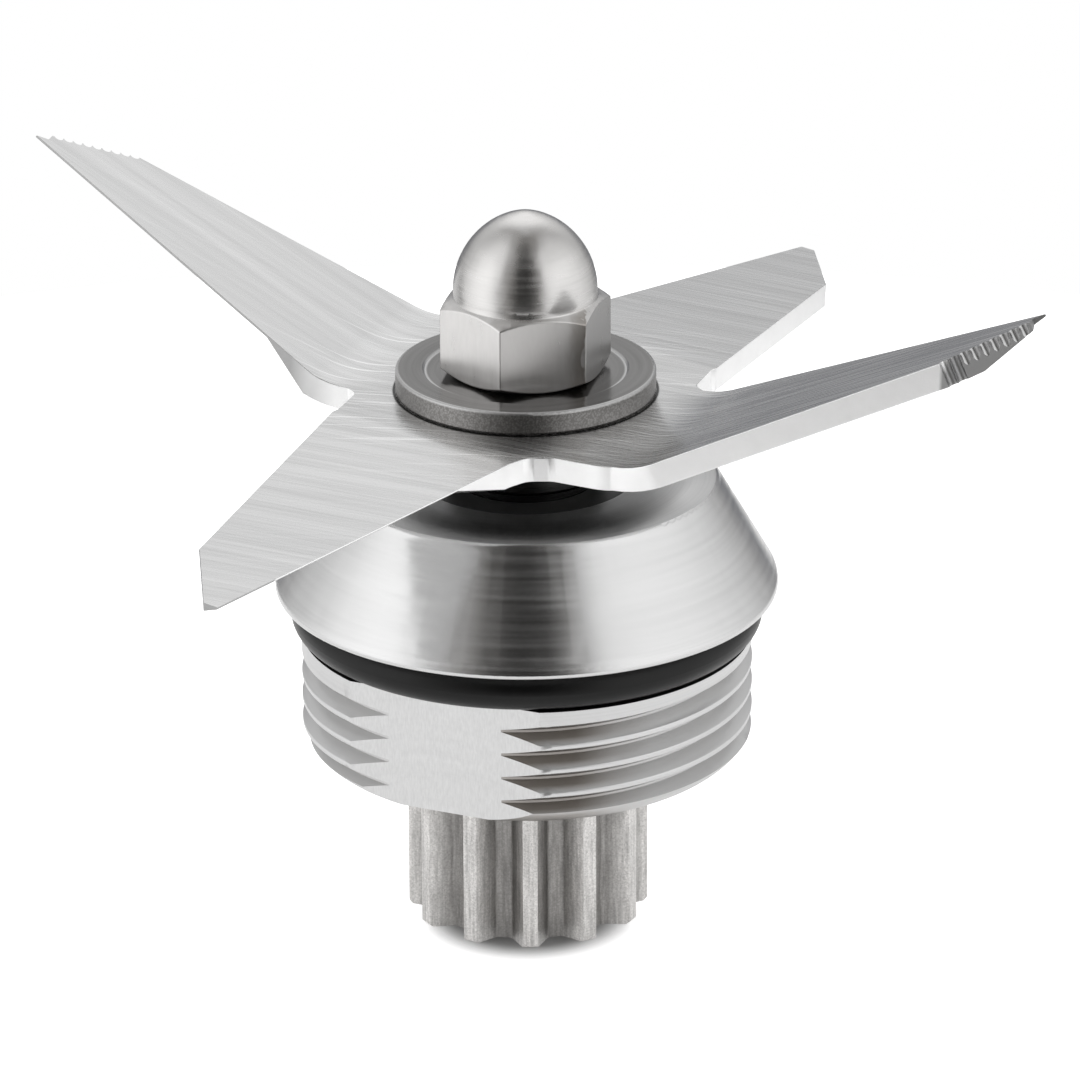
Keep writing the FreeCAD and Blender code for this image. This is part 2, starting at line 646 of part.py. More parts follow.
def make_hub_plate():
    """Flat middle of the blade, with its notches and the shaped centre hole."""
    half = [bend_corner(UP_BEND_DISTANCE, UP_BEND_AZIMUTH, UP_TILT, UP_ROOT_TRAIL),
            bend_corner(UP_BEND_DISTANCE, UP_BEND_AZIMUTH, UP_TILT, UP_ROOT_LEAD),
            valley_corner(),
            bend_corner(DOWN_BEND_DISTANCE, DOWN_BEND_AZIMUTH, -DOWN_TILT, DOWN_ROOT_TRAIL),
            bend_corner(DOWN_BEND_DISTANCE, DOWN_BEND_AZIMUTH, -DOWN_TILT, DOWN_ROOT_LEAD),
            FreeCAD.Vector(-NOTCH_LEAD_X, NOTCH_DEPTH_R, 0),
            FreeCAD.Vector(-NOTCH_TRAIL_X, NOTCH_DEPTH_R, 0),
            FreeCAD.Vector(-NOTCH_SHOULDER_X, NOTCH_SHOULDER_R, 0)]
    radii = [0, 0, CORNER_FILLET, 0, 0, NOTCH_FILLET, NOTCH_FILLET, 2 * NOTCH_FILLET]
    points = half + [spun_point(p) for p in half]
    hub = plate(points, radii * 2, BLADE_Z, SHEET)
    hole = Part.makeCylinder(SHAFT_R + HOLE_CLEARANCE, SHEET + 2 * OVERCUT,
                             UP * (BLADE_Z - OVERCUT))
    for side in (0, 180):
        hole = hole.cut(half_space(side, SHAFT_FLAT + HOLE_CLEARANCE,
                                   BLADE_Z - 2 * OVERCUT, SHEET + 4 * OVERCUT, SHAFT_R))
    return hub.cut(hole)


def valley_corner():
    """Inner corner between two wings, where their edges meet when carried inwards."""
    start_a, out_a, along_a = wing_frame(UP_BEND_DISTANCE, UP_BEND_AZIMUTH)
    start_b, out_b, along_b = wing_frame(DOWN_BEND_DISTANCE, DOWN_BEND_AZIMUTH)
    point_a = start_a + along_a * UP_ROOT_LEAD
    point_b = start_b + along_b * DOWN_ROOT_TRAIL
    edge_a = wing_edge(out_a, along_a, UP_TIP_OFFSET - UP_ROOT_LEAD, UP_LENGTH)
    edge_b = wing_edge(out_b, along_b, DOWN_HEEL_OFFSET - DOWN_ROOT_TRAIL,
                       DOWN_LENGTH - DOWN_HEEL_BACK)
    gap = point_b - point_a
    spread = edge_a.x * edge_b.y - edge_a.y * edge_b.x
    reach = (gap.x * edge_b.y - gap.y * edge_b.x) / spread
    return point_a + edge_a * reach


def wing_edge(outward, along, offset, length):
    return (outward * length + along * offset).normalize()


def spun_point(point):
    return FreeCAD.Vector(-point.x, -point.y, point.z)


def make_blade():
    up_wing = make_up_wing()
    down_wing = make_down_wing()
    wings = [up_wing, down_wing, spun(up_wing, 180), spun(down_wing, 180)]
    return make_hub_plate().fuse(wings).removeSplitter()


def make_clamp_washer():
    rim_z = BLADE_TOP_Z + WASHER_RIM_HEIGHT
    hole_r = SHAFT_R + WASHER_HOLE_CLEARANCE
    return turned([(hole_r, BLADE_TOP_Z), (WASHER_R, BLADE_TOP_Z), (WASHER_R, rim_z),
                   (WASHER_RECESS_R + WASHER_RECESS_DEPTH, rim_z),
                   (WASHER_RECESS_R, NUT_Z), (hole_r, NUT_Z)],
                  [0, WASHER_EDGE_R, WASHER_EDGE_R, 0, 0, 0])


def hexagon(across_flats, z, height, turn):
    corner_r = across_flats / 2 / math.cos(math.radians(30))
    corners = [polar(corner_r, front_angle(turn) + 60 * i) for i in range(6)]
    return plate(corners, [0] * 6, z, height)


def dome_profile():
    """Outline of the dome: skirt, pointed arch and rounded nose, as a face to revolve."""
    skirt_z = HEX_TOP_Z + DOME_SKIRT
    centre = FreeCAD.Vector(DOME_R - DOME_ARCH_R, 0, skirt_z)
    offset = DOME_ARCH_R - DOME_R
    nose_span = DOME_ARCH_R - DOME_NOSE_R
    nose_z = skirt_z + math.sqrt(nose_span ** 2 - offset ** 2)
    nose_centre = FreeCAD.Vector(0, 0, nose_z)
    joint_dir = (nose_centre - centre).normalize()
    joint = centre + joint_dir * DOME_ARCH_R
    base = FreeCAD.Vector(DOME_R, 0, skirt_z)
    arch_middle = centre + (base - centre + joint - centre).normalize() * DOME_ARCH_R
    top = nose_centre + UP * DOME_NOSE_R
    nose_middle = nose_centre + (top - nose_centre + joint - nose_centre).normalize() * DOME_NOSE_R
    inside_z = HEX_TOP_Z - OVERCUT
    edges = [Part.LineSegment(FreeCAD.Vector(0, 0, inside_z),
                              FreeCAD.Vector(DOME_R, 0, inside_z)).toShape(),
             Part.LineSegment(FreeCAD.Vector(DOME_R, 0, inside_z), base).toShape(),
             Part.Arc(base, arch_middle, joint).toShape(),
             Part.Arc(joint, nose_middle, top).toShape(),
             Part.LineSegment(top, FreeCAD.Vector(0, 0, inside_z)).toShape()]
    return Part.Face(Part.Wire(edges))


def make_acorn_nut():
    prism = hexagon(NUT_ACROSS_FLATS, NUT_Z, NUT_HEX_HEIGHT, NUT_TURN)
    outer_r = NUT_ACROSS_FLATS
    drop = (outer_r - DOME_R) * math.tan(math.radians(NUT_CHAMFER_ANGLE))
    envelope = turned([(0, NUT_Z), (DOME_R, NUT_Z), (outer_r, NUT_Z + drop),
                       (outer_r, HEX_TOP_Z - drop), (DOME_R, HEX_TOP_Z), (0, HEX_TOP_Z)])
    dome = dome_profile().revolve(ORIGIN, UP, 360)
    bore_r = SHAFT_R + NUT_THREAD_CLEARANCE
    bore_top = SHAFT_TOP_Z + NUT_BORE_MARGIN
    bore = turned([(0, NUT_Z - OVERCUT), (bore_r, NUT_Z - OVERCUT), (bore_r, bore_top),
                   (0, bore_top + bore_r * math.tan(math.radians(31)))])
    return prism.common(envelope).fuse(dome).removeSplitter().cut(bore)


def build():
    """All pieces by name, in the order they are stacked."""
    pieces = {
        "drive_spline": make_drive_spline(),
        "shaft": make_shaft(),
        "spacer_sleeve": make_spacer_sleeve(),
        "outer_spacer": make_outer_spacer(),
        "disc_spring": make_disc_spring(),
        "retaining_ring": make_retaining_ring(),
        "housing": make_housing(),
        "o_ring": make_o_ring(),
        "seal_case": make_seal_case(),
        "seal_lip": make_seal_lip(),
        "garter_spring": make_garter_spring(),
        "blade_spacer": make_blade_spacer(),
        "blade": make_blade(),
        "clamp_washer": make_clamp_washer(),
        "acorn_nut": make_acorn_nut(),
    }
    for place, z in (("lower", LOWER_BEARING_Z), ("upper", UPPER_BEARING_Z)):
        pieces[place + "_inner_race"] = make_inner_race(z)
        pieces[place + "_outer_race"] = make_outer_race(z)
        pieces[place + "_shields"] = make_shields(z)
        pieces[place + "_balls"] = make_balls(z)
        pieces[place + "_cage"] = make_cage(z)
    return pieces


def main():
    os.makedirs("parts", exist_ok=True)
    for name, shape in build().items():
        shape.exportStep(os.path.join("parts", name + ".step"))
        box = shape.BoundBox
        print("%-18s valid %s solids %d volume %9.2f z %6.2f to %6.2f"
              % (name, shape.isValid(), len(shape.Solids), shape.Volume, box.ZMin, box.ZMax))


main()
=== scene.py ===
# %% [markdown]
# # The finish of a blender blade assembly
#
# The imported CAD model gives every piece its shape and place. This notebook adds what a camera
# sees on them: ground and turned steel, sintered grain, black rubber, broken edges and small
# wear. It begins by loading the model, because every later step hangs on its bodies.
#
# All lengths are in metres, +Z is up along the shaft, and the camera looks along +Y.

# %% Load the frame and keep its box
import json
import math

import bmesh
import bpy
from mathutils import Matrix, Vector


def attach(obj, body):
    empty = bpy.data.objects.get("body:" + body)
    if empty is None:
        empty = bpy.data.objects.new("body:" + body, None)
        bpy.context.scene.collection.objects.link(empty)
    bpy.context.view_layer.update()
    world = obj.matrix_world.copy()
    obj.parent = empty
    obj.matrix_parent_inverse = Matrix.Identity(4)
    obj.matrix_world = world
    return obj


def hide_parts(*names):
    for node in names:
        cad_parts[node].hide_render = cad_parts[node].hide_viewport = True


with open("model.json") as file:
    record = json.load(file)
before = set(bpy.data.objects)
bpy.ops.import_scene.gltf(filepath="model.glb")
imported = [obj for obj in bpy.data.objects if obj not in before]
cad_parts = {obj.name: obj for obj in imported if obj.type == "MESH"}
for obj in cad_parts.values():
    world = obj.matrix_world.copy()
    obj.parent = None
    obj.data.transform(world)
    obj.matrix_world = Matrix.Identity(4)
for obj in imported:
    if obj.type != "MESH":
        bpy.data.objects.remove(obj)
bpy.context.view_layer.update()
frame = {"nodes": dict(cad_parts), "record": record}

MM = 0.001
scene = bpy.context.scene
nodes = frame["nodes"]

# %% [markdown]
# ## Camera
#
# The photograph was taken with a long lens from about two thirds of a metre, a little above
# the blade. A long lens flattens the rings of the housing, so the distance matters as much as
# the direction. The object sits slightly off the middle of the picture, which a small shift of
# the lens gives without turning the camera.

# %% Camera at the photograph's place
IMAGE_SIDE = 1080
FOCAL_PIXELS = 8000
CAMERA_DISTANCE = 0.6732
CAMERA_ELEVATION = math.radians(21.86)
LOOK_AT = Vector((0, 0, 0.03312))
PICTURE_ROLL = math.radians(0.28)
PRINCIPAL_POINT = (526.5, 540.0)

camera_data = bpy.data.cameras.new("camera")
camera = bpy.data.objects.new("camera", camera_data)
scene.collection.objects.link(camera)
towards_camera = Vector((0, -math.cos(CAMERA_ELEVATION), math.sin(CAMERA_ELEVATION)))
camera.location = LOOK_AT + towards_camera * CAMERA_DISTANCE
aim = (-towards_camera).to_track_quat("-Z", "Y").to_matrix()
camera.rotation_euler = (aim @ Matrix.Rotation(-PICTURE_ROLL, 3, "Z")).to_euler()
camera_data.sensor_width = 36
camera_data.lens = camera_data.sensor_width * FOCAL_PIXELS / IMAGE_SIDE
camera_data.shift_x = (IMAGE_SIDE / 2 - PRINCIPAL_POINT[0]) / IMAGE_SIDE
camera_data.shift_y = (PRINCIPAL_POINT[1] - IMAGE_SIDE / 2) / IMAGE_SIDE
camera_data.clip_start = 0.01
scene.camera = camera
print("camera at", [round(x, 4) for x in camera.location], "lens", round(camera_data.lens, 1))

# %% [markdown]
# ## The studio
#
# Bare steel has hardly any colour of its own: it shows the room. The photograph's room is two
# large soft lights, left and right, with a dark gap between them where the photographer stands,
# and a background that grows brighter with height. Real lamps would do, but a world whose
# brightness depends on direction gives the same mirror image with no noise, and it can be read
# straight off the reflections in the cone and the dome.
#
# The angle round the object picks a brightness from one ramp. Behind the object a second ramp,
# by height, takes over, and a third one near the zenith. The dark gap keeps its width as it
# climbs overhead, where a ramp by angle alone would pinch it to a point.

# %% Helpers for node trees
def add_node(tree, kind, **settings):
    """New node with its properties set by name."""
    node = tree.nodes.new(kind)
    for name, value in settings.items():
        setattr(node, name, value)
    return node


def wire(tree, source, target):
    tree.links.new(source, target)


def math_node(tree, operation, first, second=None, clamp=False):
    """Math node on sockets or plain numbers; gives its output socket."""
    node = add_node(tree, "ShaderNodeMath", operation=operation, use_clamp=clamp)
    for socket, value in zip(node.inputs, (first, second)):
        if value is None:
            continue
        if isinstance(value, (int, float)):
            socket.default_value = value
        else:
            wire(tree, value, socket)
    return node.outputs[0]


def ramp_node(tree, factor, stops, interpolation="EASE"):
    """Colour ramp from (position, grey or colour) pairs; gives its colour socket."""
    node = add_node(tree, "ShaderNodeValToRGB")
    node.color_ramp.interpolation = interpolation
    elements = node.color_ramp.elements
    while len(elements) < len(stops):
        elements.new(0.5)
    for element, (position, value) in zip(elements, stops):
        element.position = position
        colour = (value,) * 3 if isinstance(value, (int, float)) else value
        element.color = (*colour, 1)
    wire(tree, factor, node.inputs["Fac"])
    return node.outputs["Color"]


def dot_product(tree, vector, fixed):
    """Dot product of a vector socket with a fixed direction."""
    node = add_node(tree, "ShaderNodeVectorMath", operation="DOT_PRODUCT")
    wire(tree, vector, node.inputs[0])
    node.inputs[1].default_value = fixed
    return node.outputs["Value"]


def mix_colour(tree, factor, first, second, blend="MIX"):
    """Mix of two colours, sockets or plain values; gives the result socket."""
    node = add_node(tree, "ShaderNodeMix", data_type="RGBA", blend_type=blend)
    for socket, value in ((node.inputs["Factor"], factor), (node.inputs["A"], first),
                          (node.inputs["B"], second)):
        if isinstance(value, (int, float)) and socket.type == "VALUE":
            socket.default_value = value
        elif isinstance(value, (int, float)):
            socket.default_value = (value, value, value, 1)
        elif isinstance(value, tuple):
            socket.default_value = (*value, 1)
        else:
            wire(tree, value, socket)
    return node.outputs["Result"]


print("node helpers ready")

# %% World with two soft lights, a dark gap and a graded background
ROUND_STOPS = [(-180, 0.55), (-150, 0.62), (-133, 0.70), (-118, 0.82), (-105, 1.05),
               (-92, 1.30), (-76, 1.46), (-62, 1.45), (-52, 1.20), (-42, 0.66), (-34, 0.47),
               (-28, 0.34), (-22, 0.16), (-15, 0.04), (0, 0.025), (12, 0.03), (20, 0.15),
               (27, 0.50), (34, 1.08), (44, 1.28), (62, 1.28), (78, 1.22), (95, 1.12),
               (108, 0.98),
               (120, 0.84), (133, 0.68), (150, 0.60), (180, 0.55)]
BACK_STOPS = [(-90, 0.45), (-20, 0.22), (0, 0.22), (7, 0.34), (13, 0.68), (19, 0.80),
              (25, 0.88), (31, 1.06), (42, 1.35), (60, 1.30), (75, 1.05), (90, 0.85)]
FRONT_STOPS = [(-90, 1.0), (28, 1.0), (48, 0.80), (70, 0.72), (90, 0.72)]
GAP_WIDTH_STOPS = [(0.10, 0.80), (0.28, 0.66), (0.42, 0.26), (0.56, 0.0)]
GAP_END_STOPS = [(0.45, 1.0), (0.62, 0.60), (0.92, 0.0)]
GAP_BRIGHTNESS = 0.10
ROOM_PEAK = 1.6
ZENITH_BRIGHTNESS = 0.75
WARM_SHADE = (1.0, 0.965, 0.925)
COOL_SHADE = (0.955, 0.97, 1.03)

world = bpy.data.worlds.new("studio")
scene.world = world
world.use_nodes = True
room = world.node_tree
room.nodes.clear()
direction = add_node(room, "ShaderNodeTexCoord").outputs["Generated"]
parts = add_node(room, "ShaderNodeSeparateXYZ")
wire(room, direction, parts.inputs[0])
backwards = math_node(room, "MULTIPLY", parts.outputs["Y"], -1.0)
angle = math_node(room, "ARCTAN2", parts.outputs["X"], backwards)
turn = math_node(room, "ADD", math_node(room, "DIVIDE", angle, 2 * math.pi), 0.5)
height = math_node(room, "ARCSINE", parts.outputs["Z"])
lift = math_node(room, "ADD", math_node(room, "DIVIDE", height, math.pi), 0.5)
round_light = ramp_node(room, turn, [((a + 180) / 360, b / ROOM_PEAK) for a, b in ROUND_STOPS],
                        "LINEAR")
back_light = ramp_node(room, lift, [((a + 90) / 180, b / ROOM_PEAK) for a, b in BACK_STOPS],
                       "LINEAR")
behind = ramp_node(room, math_node(room, "DIVIDE", math_node(room, "ABSOLUTE", angle), math.pi),
                   [(0.70, 0.0), (0.90, 1.0)])
overhead = ramp_node(room, lift, [(0.92, 0.0), (1.0, 1.0)])
dimming = ramp_node(room, lift, [((a + 90) / 180, b) for a, b in FRONT_STOPS], "LINEAR")
round_light = mix_colour(room, 1.0, round_light, dimming, "MULTIPLY")
round_light = mix_colour(room, overhead, round_light, ZENITH_BRIGHTNESS / ROOM_PEAK)
light = mix_colour(room, behind, round_light, back_light)
aside = ramp_node(room, math_node(room, "ABSOLUTE", parts.outputs["X"]), GAP_WIDTH_STOPS, "LINEAR")
above = ramp_node(room, lift, [(0.79, 0.0), (0.88, 1.0)])
before = ramp_node(room, math_node(room, "ADD", parts.outputs["Y"], 0.5), GAP_END_STOPS, "LINEAR")
gap = math_node(room, "MULTIPLY", math_node(room, "MULTIPLY", aside, above), before)
light = mix_colour(room, gap, light, GAP_BRIGHTNESS / ROOM_PEAK)
tint = mix_colour(room, behind, WARM_SHADE, COOL_SHADE)
tinted = mix_colour(room, 1.0, light, tint, "MULTIPLY")
brightness = add_node(room, "ShaderNodeSeparateColor")
wire(room, light, brightness.inputs[0])
neutral = ramp_node(room, brightness.outputs[0], [(0.1, 0.0), (0.45, 1.0)])
light = mix_colour(room, neutral, tinted, light)
studio = add_node(room, "ShaderNodeBackground")
studio.inputs["Strength"].default_value = ROOM_PEAK
wire(room, light, studio.inputs["Color"])
paper = add_node(room, "ShaderNodeBackground")
paper.inputs["Color"].default_value = (1, 1, 1, 1)
paper.inputs["Strength"].default_value = 1.0
seen = add_node(room, "ShaderNodeLightPath").outputs["Is Camera Ray"]
chosen = add_node(room, "ShaderNodeMixShader")
wire(room, seen, chosen.inputs[0])
wire(room, studio.outputs[0], chosen.inputs[1])
wire(room, paper.outputs[0], chosen.inputs[2])
wire(room, chosen.outputs[0], add_node(room, "ShaderNodeOutputWorld").inputs["Surface"])
scene.view_settings.view_transform = "Standard"
print("world nodes:", len(room.nodes))

# %% [markdown]
# ## Floor
#
# A pale disc under the part catches the soft shadow of the spline, and a painted shadow, a
# darker grey in its colour round the foot, deepens it there. It is small, so that the steel
# mostly mirrors the room and not the disc. It glows for the camera, except at and just before
# the spline's foot, which leaves the real and the painted shadow there and turns the rest as
# white as the paper.
# Mirrored in steel it glows too, as white paper under a strong light does.

# %% Floor disc
FLOOR_RADIUS = 0.16
FLOOR_GREY = 0.80
PAINTED_SHADOW_GREY = 0.35
CAMERA_GLOW = 0.95
SHADOW_GLOW = 0.02
SHADOW_SHIFT = (0, 0.0034, 0)
SHADOW_RING = (0.0061, 0.0107)
MIRROR_GLOW = 0.50


def length_from_foot(tree):
    """Distance from a point a little behind the spline's axis."""
    shifted = add_node(tree, "ShaderNodeVectorMath", operation="ADD")
    wire(tree, add_node(tree, "ShaderNodeTexCoord").outputs["Object"], shifted.inputs[0])
    shifted.inputs[1].default_value = SHADOW_SHIFT
    length = add_node(tree, "ShaderNodeVectorMath", operation="LENGTH")
    wire(tree, shifted.outputs[0], length.inputs[0])
    return length.outputs["Value"]


floor_mesh = bmesh.new()
bmesh.ops.create_circle(floor_mesh, cap_ends=True, radius=FLOOR_RADIUS, segments=96)
floor_data = bpy.data.meshes.new("floor")
floor_mesh.to_mesh(floor_data)
floor_mesh.free()
floor = bpy.data.objects.new("floor", floor_data)
scene.collection.objects.link(floor)
floor_paint = bpy.data.materials.new("floor_paper")
floor_paint.use_nodes = True
tree = floor_paint.node_tree
tree.nodes.clear()
dull = add_node(tree, "ShaderNodeBsdfDiffuse")
# Painted shadow: the floor's colour turns a darker grey round the spline's foot.
painted_foot_shadow = ramp_node(tree, math_node(tree, "MULTIPLY", length_from_foot(tree), 50.0),
                       [(0.26, PAINTED_SHADOW_GREY), (0.50, FLOOR_GREY)])
wire(tree, painted_foot_shadow, dull.inputs["Color"])
glow = add_node(tree, "ShaderNodeEmission")
rays = add_node(tree, "ShaderNodeLightPath")
mirrored = math_node(tree, "MAXIMUM", rays.outputs["Is Glossy Ray"],
                     rays.outputs["Is Transmission Ray"])
outside = add_node(tree, "ShaderNodeMapRange", interpolation_type="SMOOTHSTEP")
for label, value in zip(("From Min", "From Max", "To Min", "To Max"),
                        (*SHADOW_RING, SHADOW_GLOW, CAMERA_GLOW)):
    outside.inputs[label].default_value = value
wire(tree, length_from_foot(tree), outside.inputs["Value"])
strength = math_node(tree, "ADD",
                     math_node(tree, "MULTIPLY", rays.outputs["Is Camera Ray"],
                               outside.outputs[0]),
                     math_node(tree, "MULTIPLY", mirrored, MIRROR_GLOW))
wire(tree, strength, glow.inputs["Strength"])
both = add_node(tree, "ShaderNodeAddShader")
wire(tree, dull.outputs[0], both.inputs[0])
wire(tree, glow.outputs[0], both.inputs[1])
wire(tree, both.outputs[0], add_node(tree, "ShaderNodeOutputMaterial").inputs["Surface"])
floor_data.materials.append(floor_paint)
print("floor radius", FLOOR_RADIUS)

# %% [markdown]
# ## Shared effects
#
# A few effects come back on several metals, so each is a node group, built once.
#
# *Brushing* is a noise that is stretched along the grain: long in one direction and very fine
# across it. Height counts as length, so that the lines stay whole where a wing climbs.
#
# *Turning marks* are the same thing bent into circles round the shaft. The noise reads the
# distance from the axis and the height, and hardly the angle.
#
# *Grain* is the pitted skin of sintered metal: small round cells at two sizes.
#
# *Shape masks* tell a finish where it is on the piece: how far from the axis, how high, and
# whether the face is a steep wall. Painted shade in a thread's root, and the wear on a tooth's
# tip with painted shade in its gullet, follow from those three.

# %% Group helpers
def new_group(name, inputs, outputs):
    """Empty shader node group with its sockets; gives the tree and its two end nodes."""
    group = bpy.data.node_groups.new(name, "ShaderNodeTree")
    for label, kind, default in inputs:
        socket = group.interface.new_socket(label, in_out="INPUT", socket_type=kind)
        if default is not None:
            socket.default_value = default
    for label, kind in outputs:
        group.interface.new_socket(label, in_out="OUTPUT", socket_type=kind)
    return group, add_node(group, "NodeGroupInput"), add_node(group, "NodeGroupOutput")


def place_group(tree, group, **values):
    """A node that holds a group, with its number inputs set by name."""
    node = add_node(tree, "ShaderNodeGroup", node_tree=group)
    for label, value in values.items():
        node.inputs[label.replace("_", " ")].default_value = value
    return node


def noise_node(tree, vector, scale, detail=2.0, roughness=0.5, distortion=0.0):
    """Noise texture on a vector socket; gives its factor."""
    node = add_node(tree, "ShaderNodeTexNoise")
    node.inputs["Scale"].default_value = scale
    node.inputs["Detail"].default_value = detail
    node.inputs["Roughness"].default_value = roughness
    node.inputs["Distortion"].default_value = distortion
    wire(tree, vector, node.inputs["Vector"])
    return node.outputs["Fac"]


FLOAT = "NodeSocketFloat"
VECTOR = "NodeSocketVector"
print("group helpers ready")

# %% Brushing group
brushing, ends_in, ends_out = new_group(
    "brushing",
    [("Vector", VECTOR, None), ("Length scale", FLOAT, 60.0), ("Width scale", FLOAT, 5000.0)],
    [("Fine", FLOAT), ("Coarse", FLOAT)])
stretched = add_node(brushing, "ShaderNodeCombineXYZ")
split = add_node(brushing, "ShaderNodeSeparateXYZ")
wire(brushing, ends_in.outputs["Vector"], split.inputs[0])
for axis, scale in (("X", "Length scale"), ("Y", "Width scale"), ("Z", "Length scale")):
    scaled = math_node(brushing, "MULTIPLY", split.outputs[axis], ends_in.outputs[scale])
    wire(brushing, scaled, stretched.inputs[axis])
fine = noise_node(brushing, stretched.outputs[0], 1.0, detail=1.0, roughness=0.5)
coarse = noise_node(brushing, stretched.outputs[0], 0.22, detail=2.0, roughness=0.55)
wire(brushing, fine, ends_out.inputs["Fine"])
wire(brushing, coarse, ends_out.inputs["Coarse"])
print("brushing group nodes:", len(brushing.nodes))

# %% Turning group
turning, ends_in, ends_out = new_group(
    "turning_marks",
    [("Vector", VECTOR, None), ("Ring scale", FLOAT, 6000.0), ("Arc scale", FLOAT, 1.2)],
    [("Fine", FLOAT), ("Coarse", FLOAT)])
split = add_node(turning, "ShaderNodeSeparateXYZ")
wire(turning, ends_in.outputs["Vector"], split.inputs[0])
across = math_node(turning, "POWER", split.outputs["X"], 2.0)
depth = math_node(turning, "POWER", split.outputs["Y"], 2.0)
radius = math_node(turning, "SQRT", math_node(turning, "ADD", across, depth))
bearing_x = math_node(turning, "DIVIDE", split.outputs["X"], radius)
bearing_y = math_node(turning, "DIVIDE", split.outputs["Y"], radius)
slant = math_node(turning, "ADD", radius, split.outputs["Z"])
rings = add_node(turning, "ShaderNodeCombineXYZ")
wire(turning, math_node(turning, "MULTIPLY", slant, ends_in.outputs["Ring scale"]),
     rings.inputs["X"])
wire(turning, math_node(turning, "MULTIPLY", bearing_x, ends_in.outputs["Arc scale"]),
     rings.inputs["Y"])
wire(turning, math_node(turning, "MULTIPLY", bearing_y, ends_in.outputs["Arc scale"]),
     rings.inputs["Z"])
fine = noise_node(turning, rings.outputs[0], 1.0, detail=1.0)
coarse = noise_node(turning, rings.outputs[0], 0.20, detail=2.0)
wire(turning, fine, ends_out.inputs["Fine"])
wire(turning, coarse, ends_out.inputs["Coarse"])
print("turning group nodes:", len(turning.nodes))

# %% Grain group
grain, ends_in, ends_out = new_group(
    "sintered_grain",
    [("Vector", VECTOR, None), ("Scale", FLOAT, 3500.0)],
    [("Height", FLOAT), ("Pits", FLOAT), ("Blotches", FLOAT)])
cells = add_node(grain, "ShaderNodeTexVoronoi", feature="SMOOTH_F1")
cells.inputs["Smoothness"].default_value = 0.6
wire(grain, ends_in.outputs["Vector"], cells.inputs["Vector"])
wire(grain, ends_in.outputs["Scale"], cells.inputs["Scale"])
speck = add_node(grain, "ShaderNodeTexNoise")
speck.inputs["Detail"].default_value = 4.0
wire(grain, ends_in.outputs["Vector"], speck.inputs["Vector"])
wire(grain, math_node(grain, "MULTIPLY", ends_in.outputs["Scale"], 1.7), speck.inputs["Scale"])
blotch = add_node(grain, "ShaderNodeTexNoise")
blotch.inputs["Detail"].default_value = 3.0
wire(grain, ends_in.outputs["Vector"], blotch.inputs["Vector"])
wire(grain, math_node(grain, "MULTIPLY", ends_in.outputs["Scale"], 0.12), blotch.inputs["Scale"])
height = math_node(grain, "ADD", math_node(grain, "MULTIPLY", cells.outputs["Distance"], -0.8),
                   math_node(grain, "MULTIPLY", speck.outputs["Fac"], 0.8))
wire(grain, height, ends_out.inputs["Height"])
pits = ramp_node(grain, speck.outputs["Fac"], [(0.36, 1.0), (0.50, 0.0)])
wire(grain, pits, ends_out.inputs["Pits"])
wire(grain, blotch.outputs["Fac"], ends_out.inputs["Blotches"])
print("grain group nodes:", len(grain.nodes))

# %% Shape group: distance from the axis and steepness, in object space
shape_masks, ends_in, ends_out = new_group(
    "shape_masks", [("Vector", VECTOR, None), ("Normal", VECTOR, None)],
    [("Radius", FLOAT), ("Height", FLOAT), ("Wall", FLOAT)])
place_parts = add_node(shape_masks, "ShaderNodeSeparateXYZ")
wire(shape_masks, ends_in.outputs["Vector"], place_parts.inputs[0])
across = math_node(shape_masks, "POWER", place_parts.outputs["X"], 2.0)
depth = math_node(shape_masks, "POWER", place_parts.outputs["Y"], 2.0)
radius = math_node(shape_masks, "SQRT", math_node(shape_masks, "ADD", across, depth))
wire(shape_masks, radius, ends_out.inputs["Radius"])
wire(shape_masks, place_parts.outputs["Z"], ends_out.inputs["Height"])
normal_parts = add_node(shape_masks, "ShaderNodeSeparateXYZ")
wire(shape_masks, ends_in.outputs["Normal"], normal_parts.inputs[0])
wall = ramp_node(shape_masks, math_node(shape_masks, "ABSOLUTE", normal_parts.outputs["Z"]),
                 [(0.35, 1.0), (0.70, 0.0)])
wire(shape_masks, wall, ends_out.inputs["Wall"])
print("shape group nodes:", len(shape_masks.nodes))

# %% [markdown]
# One more group belongs to the blade alone. A press brake does not fold a sheet along a line:
# the metal begins to curve some millimetres before it. The CAD bend is tighter than that, so
# this group leans the shading normal a little on the way to each raised wing.

# %% Soft bend group
BEND_DIRECTION = (math.cos(math.radians(-24)), math.sin(math.radians(-24)), 0)
BEND_SIDE = (-BEND_DIRECTION[1], BEND_DIRECTION[0], 0)
LEAN_STOPS = [(10.6, 0.0), (13.7, 0.19), (15.5, 0.10), (17.2, 0.0)]
LEAN_SIDE = (0.0035, 0.0062)


